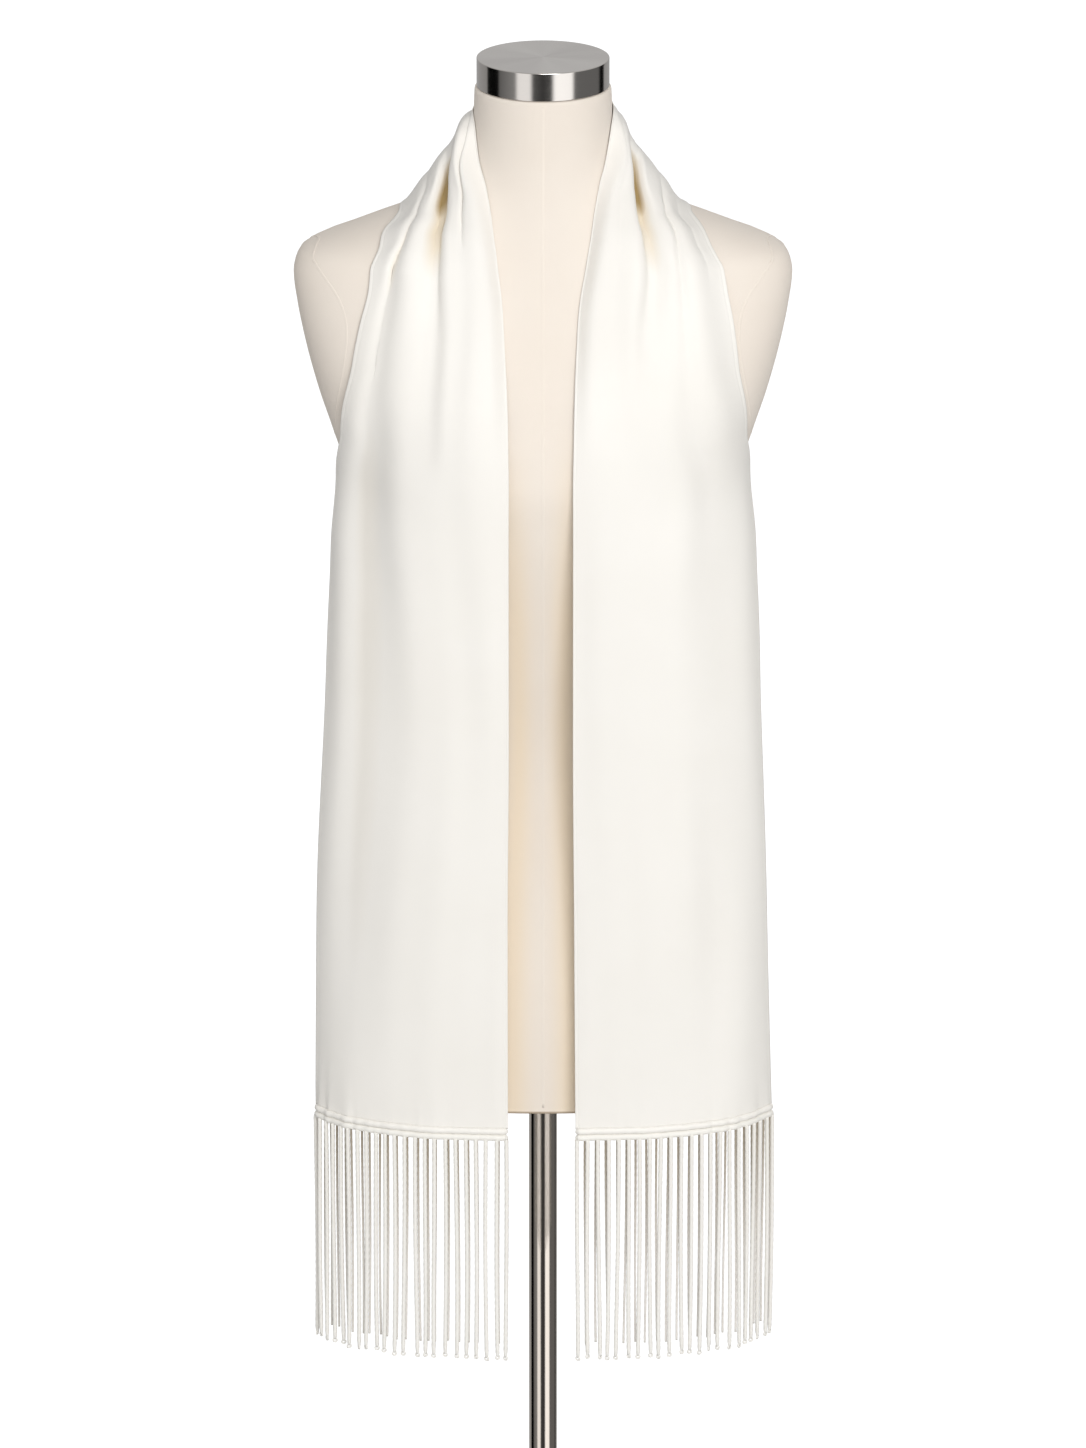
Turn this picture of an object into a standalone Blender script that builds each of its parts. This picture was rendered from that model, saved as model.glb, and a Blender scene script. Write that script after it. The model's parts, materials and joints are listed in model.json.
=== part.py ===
# Fringe scarf on a dress form
# An ivory scarf lies round the neck of a limbless dress form, and both of its ends hang down
# the front, each with a rolled hem and a fringe. The form stands on a steel pole and a round base.
# Metres, +Z up, +Y to the back. The origin is on the floor, under the middle of the base.

import math
from collections import namedtuple

import bmesh
import bpy
import numpy as np

# Stand, from the floor up
TOP_HEIGHT = 1.520
CAP_DIAMETER = 0.1016
CAP_HEIGHT = 0.0225
CAP_EDGE = 0.0008
POLE_DIAMETER = 0.0222
BASE_DIAMETER = 0.350
BASE_THICKNESS = 0.008
BASE_EDGE = 0.002
ROUND_SIDES = 48
POLE_SIDES = 24
GAP = 0.0003

# Dress form: the torso between its flat underside and the top of its neck
FORM_BOTTOM = 0.700
FORM_HEIGHT = TOP_HEIGHT - CAP_HEIGHT - FORM_BOTTOM
FORM_SIDES = 36
FORM_ROWS = 26
SHOULDER_LOW = 0.645         # from here to SHOULDER_HIGH the form has its lines at the rings below
SHOULDER_HIGH = 0.730

# A ring is a rounded rectangle round the upright axis, at a height over the form's underside.
# Power 2 is an ellipse, and more than 2 is squarer.
Ring = namedtuple("Ring", "height half_width front back power")

FORM_RINGS = (
    Ring(0.000, 0.1560, 0.1040, 0.1120, 2.30),
    Ring(0.070, 0.1610, 0.1060, 0.1180, 2.30),
    Ring(0.170, 0.1520, 0.1000, 0.1060, 2.30),
    Ring(0.300, 0.1210, 0.0860, 0.0850, 2.20),
    Ring(0.400, 0.1340, 0.0970, 0.0900, 2.20),
    Ring(0.470, 0.1470, 0.1090, 0.0960, 2.30),
    Ring(0.509, 0.1560, 0.1145, 0.1000, 2.35),
    Ring(0.531, 0.1630, 0.1135, 0.1010, 2.40),
    Ring(0.563, 0.1735, 0.1085, 0.1010, 2.40),
    Ring(0.595, 0.1820, 0.0990, 0.0990, 2.40),
    Ring(0.627, 0.1885, 0.0875, 0.0940, 2.35),
    Ring(0.652, 0.1915, 0.0780, 0.0880, 2.30),
    Ring(0.667, 0.1875, 0.0730, 0.0845, 2.30),
    Ring(0.675, 0.1765, 0.0700, 0.0820, 2.25),
    Ring(0.683, 0.1550, 0.0670, 0.0795, 2.20),
    Ring(0.691, 0.1340, 0.0645, 0.0765, 2.15),
    Ring(0.699, 0.1115, 0.0615, 0.0735, 2.10),
    Ring(0.709, 0.0880, 0.0585, 0.0690, 2.00),
    Ring(0.722, 0.0710, 0.0555, 0.0635, 2.00),
    Ring(0.738, 0.0600, 0.0535, 0.0580, 2.00),
    Ring(0.758, 0.0540, 0.0525, 0.0540, 2.00),
    Ring(0.796, 0.0523, 0.0523, 0.0523, 2.00),
)

# Scarf: one strip of cloth, its two ends hemmed and fringed
CLOTH_WALL = 0.0014
CLOTH_REST = 0.0014          # the lowest the middle of the wall comes over the rings below
HEM_ROLL = 0.0047
HEM_POINTS = 22
HEADER_HEIGHT = 0.0046
HEADER_DEPTH = 0.0052
HEADER_ROUND = 0.0009
SEAM_AT = 0.112              # from the centre back to where the hanging lengths begin
HEM_AT = 0.920               # from the centre back to the end of the wall

# What the cloth lies on: the form where it touches, and straight down from the bust to the hem.
# It bridges the corner between neck and shoulder.
DRAPE_RINGS = (
    Ring(-0.030, 0.1853, 0.1180, 0.1000, 3.00),
    Ring(0.174, 0.1795, 0.1180, 0.1000, 3.00),
    Ring(0.354, 0.1720, 0.1180, 0.1000, 2.90),
    Ring(0.450, 0.1650, 0.1178, 0.1010, 2.70),
    Ring(0.500, 0.1600, 0.1172, 0.1010, 2.50),
    Ring(0.531, 0.1645, 0.1152, 0.1020, 2.45),
    Ring(0.563, 0.1745, 0.1098, 0.1020, 2.45),
    Ring(0.595, 0.1830, 0.1003, 0.1000, 2.40),
    Ring(0.627, 0.1895, 0.0887, 0.0950, 2.35),
    Ring(0.652, 0.1925, 0.0792, 0.0892, 2.30),
    Ring(0.667, 0.1885, 0.0742, 0.0857, 2.30),
    Ring(0.675, 0.1775, 0.0712, 0.0834, 2.25),
    Ring(0.683, 0.1562, 0.0686, 0.0814, 2.20),
    Ring(0.691, 0.1352, 0.0662, 0.0786, 2.15),
    Ring(0.7005, 0.1090, 0.0636, 0.0758, 2.00),
    Ring(0.726, 0.0835, 0.0570, 0.0690, 1.65),
    Ring(0.759, 0.0605, 0.0540, 0.0600, 1.85),
    Ring(0.7765, 0.0550, 0.0536, 0.0555, 2.00),
    Ring(0.796, 0.0535, 0.0535, 0.0535, 2.00),
)

# The two edges of the cloth at stations along one half, from the centre back to the hem.
# Angles are degrees round the axis from the front, heights are over the form's underside,
# ridge is how far the folds stand out over the rings, and edge is how much of that the edges lack.
Station = namedtuple("Station", "at inner_angle inner_height outer_angle outer_height ridge edge")

LEFT_STATIONS = (
    Station(0.000, 180.0, 0.7800, 180.0, 0.6880, 0.0060, 1.0),
    Station(0.066, 135.0, 0.7790, 136.0, 0.6940, 0.0060, 1.0),
    Station(0.127, 90.0, 0.7780, 90.0, 0.7005, 0.0050, 1.0),
    Station(0.150, 63.5, 0.7770, 81.0, 0.6970, 0.0075, 1.0),
    Station(0.172, 55.5, 0.7555, 74.0, 0.6895, 0.0100, 1.0),
    Station(0.199, 43.5, 0.7270, 67.5, 0.6760, 0.0115, 1.0),
    Station(0.241, 29.0, 0.6855, 64.5, 0.6440, 0.0105, 1.0),
    Station(0.295, 19.0, 0.6285, 64.0, 0.5980, 0.0080, 1.0),
    Station(0.363, 13.5, 0.5560, 68.0, 0.5410, 0.0055, 0.7),
    Station(0.411, 12.5, 0.5025, 73.0, 0.5025, 0.0040, 0.4),
    Station(0.500, 12.5, 0.4135, 70.0, 0.4135, 0.0040, 0.2),
    Station(0.600, 12.5, 0.3135, 68.5, 0.3135, 0.0040, 0.2),
    Station(0.760, 13.0, 0.1535, 69.5, 0.1535, 0.0040, 0.2),
    Station(0.920, 13.0, -0.0065, 69.5, -0.0065, 0.0040, 0.1),
)

RIGHT_STATIONS = (
    Station(0.000, 180.0, 0.7800, 180.0, 0.6880, 0.0060, 1.0),
    Station(0.066, 135.0, 0.7840, 136.0, 0.6940, 0.0060, 1.0),
    Station(0.127, 90.0, 0.7870, 90.0, 0.6985, 0.0050, 1.0),
    Station(0.144, 69.5, 0.7835, 83.0, 0.6960, 0.0070, 1.0),
    Station(0.172, 54.0, 0.7565, 73.5, 0.6875, 0.0100, 1.0),
    Station(0.199, 41.5, 0.7280, 68.5, 0.6730, 0.0115, 1.0),
    Station(0.241, 26.0, 0.6870, 66.5, 0.6400, 0.0105, 1.0),
    Station(0.295, 17.0, 0.6300, 65.5, 0.5950, 0.0080, 1.0),
    Station(0.363, 12.0, 0.5570, 70.0, 0.5400, 0.0055, 0.7),
    Station(0.411, 11.0, 0.5025, 76.0, 0.5025, 0.0040, 0.4),
    Station(0.500, 11.0, 0.4135, 71.0, 0.4135, 0.0040, 0.2),
    Station(0.600, 11.0, 0.3135, 69.0, 0.3135, 0.0040, 0.2),
    Station(0.760, 11.5, 0.1535, 69.0, 0.1535, 0.0040, 0.2),
    Station(0.920, 12.0, -0.0065, 70.0, -0.0065, 0.0040, 0.1),
)

# Troughs between the folds, from the neck edge outwards. Place and width are shares of the way
# from the inner edge to the outer one, and depth is a share of the ridge.
Trough = namedtuple("Trough", "at place width depth")

LEFT_TROUGHS = (
    (
        Trough(0.000, 0.150, 0.055, 0.80),
        Trough(0.127, 0.100, 0.045, 0.80),
        Trough(0.150, 0.150, 0.050, 0.90),
        Trough(0.172, 0.270, 0.055, 0.90),
        Trough(0.199, 0.305, 0.060, 0.75),
        Trough(0.241, 0.310, 0.080, 0.30),
        Trough(0.295, 0.310, 0.100, 0.00),
        Trough(0.920, 0.310, 0.120, 0.00),
    ),
    (
        Trough(0.000, 0.380, 0.060, 0.90),
        Trough(0.127, 0.280, 0.055, 0.90),
        Trough(0.150, 0.480, 0.055, 1.00),
        Trough(0.172, 0.600, 0.055, 1.00),
        Trough(0.199, 0.585, 0.060, 1.00),
        Trough(0.241, 0.570, 0.075, 0.90),
        Trough(0.295, 0.575, 0.100, 0.70),
        Trough(0.363, 0.520, 0.110, 0.35),
        Trough(0.411, 0.500, 0.120, 0.10),
        Trough(0.920, 0.500, 0.120, 0.00),
    ),
    (
        Trough(0.000, 0.640, 0.060, 0.90),
        Trough(0.127, 0.680, 0.060, 0.90),
        Trough(0.150, 0.790, 0.050, 0.90),
        Trough(0.199, 0.800, 0.050, 0.85),
        Trough(0.241, 0.812, 0.055, 0.80),
        Trough(0.295, 0.800, 0.075, 0.75),
        Trough(0.363, 0.730, 0.100, 0.75),
        Trough(0.411, 0.670, 0.120, 0.70),
        Trough(0.600, 0.655, 0.130, 0.55),
        Trough(0.920, 0.640, 0.130, 0.35),
    ),
    (
        Trough(0.000, 0.860, 0.050, 0.40),
        Trough(0.127, 0.860, 0.050, 0.20),
        Trough(0.920, 0.900, 0.060, 0.00),
    ),
)

RIGHT_TROUGHS = (
    (
        Trough(0.000, 0.150, 0.055, 0.80),
        Trough(0.127, 0.100, 0.040, 0.70),
        Trough(0.150, 0.120, 0.045, 0.70),
        Trough(0.172, 0.170, 0.060, 0.40),
        Trough(0.241, 0.270, 0.100, 0.30),
        Trough(0.295, 0.290, 0.120, 0.40),
        Trough(0.363, 0.260, 0.120, 0.30),
        Trough(0.411, 0.250, 0.120, 0.00),
        Trough(0.920, 0.250, 0.120, 0.00),
    ),
    (
        Trough(0.000, 0.380, 0.060, 0.90),
        Trough(0.127, 0.340, 0.055, 0.90),
        Trough(0.150, 0.470, 0.055, 1.00),
        Trough(0.172, 0.545, 0.055, 1.00),
        Trough(0.199, 0.550, 0.065, 1.00),
        Trough(0.241, 0.560, 0.085, 0.80),
        Trough(0.295, 0.550, 0.110, 0.60),
        Trough(0.363, 0.470, 0.120, 0.40),
        Trough(0.411, 0.440, 0.130, 0.20),
        Trough(0.920, 0.450, 0.130, 0.00),
    ),
    (
        Trough(0.000, 0.640, 0.060, 0.90),
        Trough(0.127, 0.680, 0.055, 0.90),
        Trough(0.150, 0.770, 0.050, 0.90),
        Trough(0.199, 0.745, 0.050, 0.85),
        Trough(0.241, 0.750, 0.055, 0.70),
        Trough(0.295, 0.720, 0.080, 0.60),
        Trough(0.363, 0.660, 0.100, 0.60),
        Trough(0.411, 0.700, 0.120, 0.50),
        Trough(0.600, 0.715, 0.130, 0.40),
        Trough(0.920, 0.710, 0.130, 0.30),
    ),
    (
        Trough(0.000, 0.860, 0.050, 0.40),
        Trough(0.127, 0.800, 0.045, 0.50),
        Trough(0.150, 0.870, 0.045, 0.60),
        Trough(0.199, 0.885, 0.045, 0.40),
        Trough(0.241, 0.890, 0.050, 0.20),
        Trough(0.295, 0.900, 0.050, 0.00),
        Trough(0.920, 0.900, 0.060, 0.00),
    ),
)

# Share of the width in which the folds come down to the edges
EDGE_ROLL = 0.05

# Where the wall has its lines in the bands between two troughs, as shares of a band
INNER_BAND = (0.0, 0.5)
MIDDLE_BAND = (0.0, 0.16, 0.36, 0.64, 0.84)
OUTER_BAND = (0.0, 0.34, 0.67)

# Rows along the cloth: the pitch of the rows, up to a distance from the centre back
NECK_PITCH = 0.0125
CHEST_PITCH = 0.0150
CHEST_ENDS = 0.420
FALL_PITCH = 0.0625

# Fringe
FRONT_STRANDS = 22
STRAND_DEPTH = 0.0022
STRAND_SHARE = 0.43          # of the pitch between two front strands
FRINGE_LENGTH = 0.182
REAR_SHORTER = 0.013
BULB_NECK = 0.0024           # height over which a strand widens into its bulb
BULB_HEIGHT = 0.0036
BULB_SPREAD = 1.35
BULB_END = 0.8
STRAND_SWAY = 0.0007
SWAY_STEP = 2.3              # radians from strand to strand
LINE_POINTS = 200            # along the header, for placing the strands at an even pitch

# Steps to each side of a point of a ring surface, to find which way it faces
STEP_ANGLE = 0.2
STEP_HEIGHT = 0.0005

IVORY = (0.90, 0.88, 0.82, 1.0)
BEIGE = (0.80, 0.73, 0.64, 1.0)
STEEL = (0.55, 0.54, 0.53, 1.0)


def column(rows, name):
    return np.array([getattr(row, name) for row in rows], dtype=float)


def smooth(stops, values, at):
    """Values between stops on a curve that keeps every rise and fall of the table."""
    at = np.clip(np.asarray(at, dtype=float), stops[0], stops[-1])
    slopes = np.diff(values) / np.diff(stops)
    before, after = slopes[:-1], slopes[1:]
    total = np.where(before + after == 0.0, 1.0, before + after)
    tangents = np.concatenate((
        slopes[:1],
        np.where(before * after > 0.0, 2.0 * before * after / total, 0.0),
        slopes[-1:],
    ))
    index = np.clip(np.searchsorted(stops, at, side="right") - 1, 0, len(stops) - 2)
    span = stops[index + 1] - stops[index]
    x = (at - stops[index]) / span
    return (
        values[index] * (1 + 2 * x) * (1 - x) ** 2
        + tangents[index] * span * x * (1 - x) ** 2
        + values[index + 1] * x * x * (3 - 2 * x)
        + tangents[index + 1] * span * x * x * (x - 1)
    )


def ring_point(rings, angle, height):
    """The point of a ring surface at an angle in degrees from the front, positive towards -X."""
    heights = column(rings, "height")
    half_width, front, back, power = (
        smooth(heights, column(rings, name), height)
        for name in ("half_width", "front", "back", "power")
    )
    turn = np.radians(angle)
    side, ahead = np.sin(turn), np.cos(turn)
    depth = np.where(ahead > 0.0, front, back)
    reach = (np.abs(side / half_width) ** power + np.abs(ahead / depth) ** power) ** (-1.0 / power)
    return np.stack((-reach * side, -reach * ahead, FORM_BOTTOM + height + 0.0 * reach), axis=-1)


def ring_normal(rings, angle, height):
    across = ring_point(rings, angle + STEP_ANGLE, height) - ring_point(rings, angle - STEP_ANGLE, height)
    up = ring_point(rings, angle, height + STEP_HEIGHT) - ring_point(rings, angle, height - STEP_HEIGHT)
    normal = np.cross(up, across)
    return normal / np.linalg.norm(normal, axis=-1, keepdims=True)


def along_scarf(name):
    """One column of the stations over the whole scarf: left half below zero, right half above."""
    left, right = column(LEFT_STATIONS, name), column(RIGHT_STATIONS, name)
    if name.endswith("angle"):
        right = 360.0 - right
    if name == "at":
        left = -left
    return np.concatenate((left[::-1], right[1:]))


def trough_values(number, at):
    """Place, width and depth of one trough at a distance along the scarf."""
    left, right = LEFT_TROUGHS[number], RIGHT_TROUGHS[number]
    stops = np.concatenate((-column(left, "at")[::-1], column(right, "at")[1:]))
    return [
        smooth(stops, np.concatenate((column(left, name)[::-1], column(right, name)[1:])), at)
        for name in ("place", "width", "depth")
    ]


def cloth_points(at, across):
    """Points of the cloth's middle surface; at is metres from the centre back, across is 0 to 1."""
    stops = along_scarf("at")
    inner_angle, inner_height, outer_angle, outer_height, ridge, edge = (
        smooth(stops, along_scarf(name), at)
        for name in ("inner_angle", "inner_height", "outer_angle", "outer_height", "ridge", "edge")
    )
    angle = inner_angle + (outer_angle - inner_angle) * across
    height = inner_height + (outer_height - inner_height) * across
    sunk = 0.0
    for number in range(len(LEFT_TROUGHS)):
        place, width, depth = trough_values(number, at)
        sunk = sunk + depth * np.exp(-((across - place) / width) ** 2)
    rise = 1.0 - edge * np.exp(-(across / EDGE_ROLL) ** 2)
    fall = 1.0 - edge * np.exp(-((1.0 - across) / EDGE_ROLL) ** 2)
    lift = CLOTH_REST + ridge * rise * fall * (1.0 - np.minimum(sunk, 1.0))
    normal = ring_normal(DRAPE_RINGS, angle, height)
    return ring_point(DRAPE_RINGS, angle, height) + normal * lift[..., None]


def cloth_columns(at):
    """Shares of the width at which the wall has its lines: close together at each trough."""
    stops = [0.0] + [float(trough_values(n, at)[0]) for n in range(len(LEFT_TROUGHS))] + [1.0]
    bands = [INNER_BAND] + [MIDDLE_BAND] * (len(stops) - 3) + [OUTER_BAND]
    shares = [
        low + (high - low) * split for low, high, band in zip(stops, stops[1:], bands) for split in band
    ]
    return np.array(shares + [1.0])


def even_stops(start, end, pitch):
    return np.linspace(start, end, 1 + math.ceil((end - start) / pitch))


def cloth_grid(stops):
    return np.array([cloth_points(at, cloth_columns(at)) for at in stops])


# Object helpers

def make_material(name, color, roughness, metallic=0.0):
    material = bpy.data.materials.new(name)
    material.use_nodes = True
    shader = material.node_tree.nodes["Principled BSDF"]
    shader.inputs["Base Color"].default_value = color
    shader.inputs["Roughness"].default_value = roughness
    shader.inputs["Metallic"].default_value = metallic
    return material


def place(obj, material, collection, origin):
    for other in list(obj.users_collection):
        other.objects.unlink(obj)
    collection.objects.link(obj)
    obj.parent = origin
    obj.data.materials.append(material)
    return obj


def grid_surface(name, points, round_rows=False):
    """An open mesh through a grid of points, each row closed on itself where it goes round."""
    mesh_edit = bmesh.new()
    rows = [[mesh_edit.verts.new(point) for point in row] for row in points]
    for upper, lower in zip(rows, rows[1:]):
        ends = upper + upper[:1] if round_rows else upper
        feet = lower + lower[:1] if round_rows else lower
        for a, b, c, d in zip(ends, ends[1:], feet[1:], feet):
            mesh_edit.faces.new((a, d, c, b))
    mesh = bpy.data.meshes.new(name)
    mesh_edit.to_mesh(mesh)
    mesh_edit.free()
    mesh.shade_smooth()
    return bpy.data.objects.new(name, mesh)


# Stand and form

def make_disc(name, diameter, height, bottom, edge, sides):
    bpy.ops.mesh.primitive_cylinder_add(
        vertices=sides, radius=diameter / 2, depth=height, location=(0, 0, bottom + height / 2)
    )
    disc = bpy.context.object
    disc.name = name
    if edge:
        bevel = disc.modifiers.new("edge", "BEVEL")
        bevel.width = edge
        bevel.segments = 1
        bevel.limit_method = "ANGLE"
    return disc


def make_form():
    even = np.linspace(0.0, FORM_HEIGHT, FORM_ROWS + 1)
    rings = column(FORM_RINGS, "height")
    shoulder = rings[(rings > SHOULDER_LOW) & (rings < SHOULDER_HIGH)]
    heights = np.concatenate((even[even < SHOULDER_LOW], shoulder, even[even > SHOULDER_HIGH]))
    angles = np.linspace(0.0, 360.0, FORM_SIDES, endpoint=False)
    rows = [ring_point(FORM_RINGS, angles, np.full(FORM_SIDES, height)) for height in heights[::-1]]
    form = grid_surface("form_body", rows, round_rows=True)
    mesh_edit = bmesh.new()
    mesh_edit.from_mesh(form.data)
    bmesh.ops.holes_fill(mesh_edit, edges=[edge for edge in mesh_edit.edges if edge.is_boundary])
    bmesh.ops.recalc_face_normals(mesh_edit, faces=mesh_edit.faces)
    mesh_edit.to_mesh(form.data)
    mesh_edit.free()
    return form


# Scarf

def make_wall(name, rows):
    wall = grid_surface(name, rows)
    solid = wall.modifiers.new("wall", "SOLIDIFY")
    solid.thickness = CLOTH_WALL
    solid.offset = 0.0
    solid.use_even_offset = False
    return wall


def make_neck_cloth():
    reach = SEAM_AT - GAP / 2
    return make_wall("cloth_neck", cloth_grid(even_stops(-reach, reach, NECK_PITCH)))


def make_fall(name, side):
    chest = even_stops(SEAM_AT + GAP / 2, CHEST_ENDS, CHEST_PITCH)
    straight = even_stops(CHEST_ENDS, HEM_AT, FALL_PITCH)
    return make_wall(name, cloth_grid(side * np.concatenate((chest, straight[1:]))))


def hem_line(side, count, drop):
    """Points along the wall's end, moved down, with their outward directions."""
    across = np.linspace(0.0, 1.0, count)
    points = cloth_points(np.full(count, side * HEM_AT), across)
    along = np.gradient(points, axis=0)
    outward = np.stack((along[:, 1], -along[:, 0], np.zeros(count)), axis=-1) * side
    outward /= np.linalg.norm(outward, axis=-1, keepdims=True)
    points[:, 2] -= drop
    return points, outward


def make_hem(name, side):
    points, _ = hem_line(side, HEM_POINTS, GAP + HEM_ROLL / 2)
    curve = bpy.data.curves.new(name, "CURVE")
    curve.dimensions = "3D"
    curve.bevel_depth = HEM_ROLL / 2
    curve.bevel_resolution = 2
    curve.use_fill_caps = True
    spline = curve.splines.new("POLY")
    spline.points.add(len(points) - 1)
    for spline_point, point in zip(spline.points, points):
        spline_point.co = (*point, 1.0)
    return bpy.data.objects.new(name, curve)


def make_fringe(name, side):
    """A narrow strip with strands drawn out of its underside: a front row and a shorter rear row."""
    pitches = 2 * FRONT_STRANDS - 1
    shares = [0.0]
    for _ in range(pitches):
        shares += [shares[-1] + STRAND_SHARE, shares[-1] + 0.5]
    shares = np.array(shares[:-1]) / shares[-2]
    line, outward = hem_line(side, LINE_POINTS, GAP + HEM_ROLL + GAP)
    line_share = np.linspace(0.0, 1.0, LINE_POINTS)
    feet = np.stack([np.interp(shares, line_share, line[:, k]) for k in range(3)], axis=-1)
    out = np.stack([np.interp(shares, line_share, outward[:, k]) for k in range(3)], axis=-1)
    half = HEADER_DEPTH / 2
    down = np.array((0.0, 0.0, -HEADER_HEIGHT))
    section = (
        (half - HEADER_ROUND, 0.0),
        (half, 1.0),
        (half - STRAND_DEPTH, 1.0),
        (STRAND_DEPTH - half, 1.0),
        (-half, 1.0),
        (HEADER_ROUND - half, 0.0),
    )
    mesh_edit = bmesh.new()
    rings = [
        [mesh_edit.verts.new(foot + direction * reach + down * share) for reach, share in section]
        for foot, direction in zip(feet, out)
    ]
    count = len(section)
    front_faces, rear_faces = [], []
    for number, (here, there) in enumerate(zip(rings, rings[1:])):
        for k in range(count):
            face = mesh_edit.faces.new((here[k], here[(k + 1) % count], there[(k + 1) % count], there[k]))
            if number % 4 == 0 and k == 1:
                front_faces.append(face)
            if number % 4 == 2 and k == 3:
                rear_faces.append(face)
    mesh_edit.faces.new(rings[0])
    mesh_edit.faces.new(rings[-1][::-1])
    bmesh.ops.recalc_face_normals(mesh_edit, faces=mesh_edit.faces)
    draw_strands(mesh_edit, front_faces, FRINGE_LENGTH, side, knobs=True)
    draw_strands(mesh_edit, rear_faces, FRINGE_LENGTH - REAR_SHORTER, side, knobs=False)
    mesh = bpy.data.meshes.new(name)
    mesh_edit.to_mesh(mesh)
    mesh_edit.free()
    return bpy.data.objects.new(name, mesh)


def draw_strands(mesh_edit, faces, length, side, knobs):
    half = length / 2
    for number, face in enumerate(faces):
        sway = STRAND_SWAY * math.sin(SWAY_STEP * number + side)
        steps = [(half, sway, 1.0)]
        if knobs:
            steps.append((half - BULB_NECK - BULB_HEIGHT, -sway, 1.0))
            steps.append((BULB_NECK, 0.0, BULB_SPREAD))
            steps.append((BULB_HEIGHT, 0.0, BULB_END))
        else:
            steps.append((half, -sway, 1.0))
        for drop, shift, spread in steps:
            made = bmesh.ops.extrude_discrete_faces(mesh_edit, faces=[face])["faces"][0]
            middle = made.calc_center_median()
            for vert in made.verts:
                vert.co = middle + (vert.co - middle) * spread
                vert.co.x += shift
                vert.co.z -= drop
            face = made


def main():
    for obj in list(bpy.data.objects):
        bpy.data.objects.remove(obj)
    parts = bpy.data.collections.new("fringe_scarf_on_dress_form")
    bpy.context.scene.collection.children.link(parts)
    origin = bpy.data.objects.new("stand_origin", None)
    parts.objects.link(origin)

    ivory = make_material("ivory_satin", IVORY, 0.45)
    fringe_cord = make_material("ivory_fringe_cord", IVORY, 0.7)
    beige = make_material("beige_form_cover", BEIGE, 0.85)
    steel = make_material("brushed_steel", STEEL, 0.3, 1.0)

    pole_bottom = BASE_THICKNESS + GAP
    pole_height = FORM_BOTTOM - GAP - pole_bottom
    cap_bottom = TOP_HEIGHT - CAP_HEIGHT + GAP
    stand = (
        make_disc("base_plate", BASE_DIAMETER, BASE_THICKNESS, 0.0, BASE_EDGE, ROUND_SIDES),
        make_disc("pole", POLE_DIAMETER, pole_height, pole_bottom, 0.0, POLE_SIDES),
        make_disc("neck_cap", CAP_DIAMETER, CAP_HEIGHT - GAP, cap_bottom, CAP_EDGE, ROUND_SIDES),
    )
    for piece in stand:
        place(piece, steel, parts, origin)
    place(make_form(), beige, parts, origin)

    place(make_neck_cloth(), ivory, parts, origin)
    for word, side in (("left", -1), ("right", 1)):
        place(make_fall("cloth_fall_" + word, side), ivory, parts, origin)
        place(make_hem("hem_" + word, side), ivory, parts, origin)
        place(make_fringe("fringe_" + word, side), fringe_cord, parts, origin)


main()
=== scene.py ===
import json
import math

import bmesh
import bpy
import numpy as np
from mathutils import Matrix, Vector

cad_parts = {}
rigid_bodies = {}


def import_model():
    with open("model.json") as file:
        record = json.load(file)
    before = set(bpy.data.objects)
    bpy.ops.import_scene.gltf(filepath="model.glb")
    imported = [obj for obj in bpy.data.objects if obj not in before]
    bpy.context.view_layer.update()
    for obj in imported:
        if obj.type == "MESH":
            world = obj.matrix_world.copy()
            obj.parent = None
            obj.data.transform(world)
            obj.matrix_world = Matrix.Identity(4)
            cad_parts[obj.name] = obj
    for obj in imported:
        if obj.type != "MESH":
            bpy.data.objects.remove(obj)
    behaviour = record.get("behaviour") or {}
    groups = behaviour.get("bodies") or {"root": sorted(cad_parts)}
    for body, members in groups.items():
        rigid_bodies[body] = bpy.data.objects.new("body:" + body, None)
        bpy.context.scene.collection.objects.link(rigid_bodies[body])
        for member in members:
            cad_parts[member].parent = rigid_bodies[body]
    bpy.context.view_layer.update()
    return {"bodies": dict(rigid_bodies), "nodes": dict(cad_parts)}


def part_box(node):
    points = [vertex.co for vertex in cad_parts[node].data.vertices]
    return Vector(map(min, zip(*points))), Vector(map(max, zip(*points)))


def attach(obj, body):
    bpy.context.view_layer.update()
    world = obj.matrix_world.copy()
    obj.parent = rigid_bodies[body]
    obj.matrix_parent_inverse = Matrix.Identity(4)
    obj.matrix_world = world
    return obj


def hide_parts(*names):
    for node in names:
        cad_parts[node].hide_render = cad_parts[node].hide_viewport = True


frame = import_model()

# Fringe scarf on a dress form. Metres, +Z up, +Y to the back, every piece where its solid stands.

bodyName = next(iter(frame["bodies"]))
scene = bpy.context.scene
print("frame loaded:", ", ".join(sorted(frame["nodes"])))


# Mesh helpers

def linkPiece(name, mesh):
    piece = bpy.data.objects.new(name, mesh)
    scene.collection.objects.link(piece)
    return piece


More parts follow.
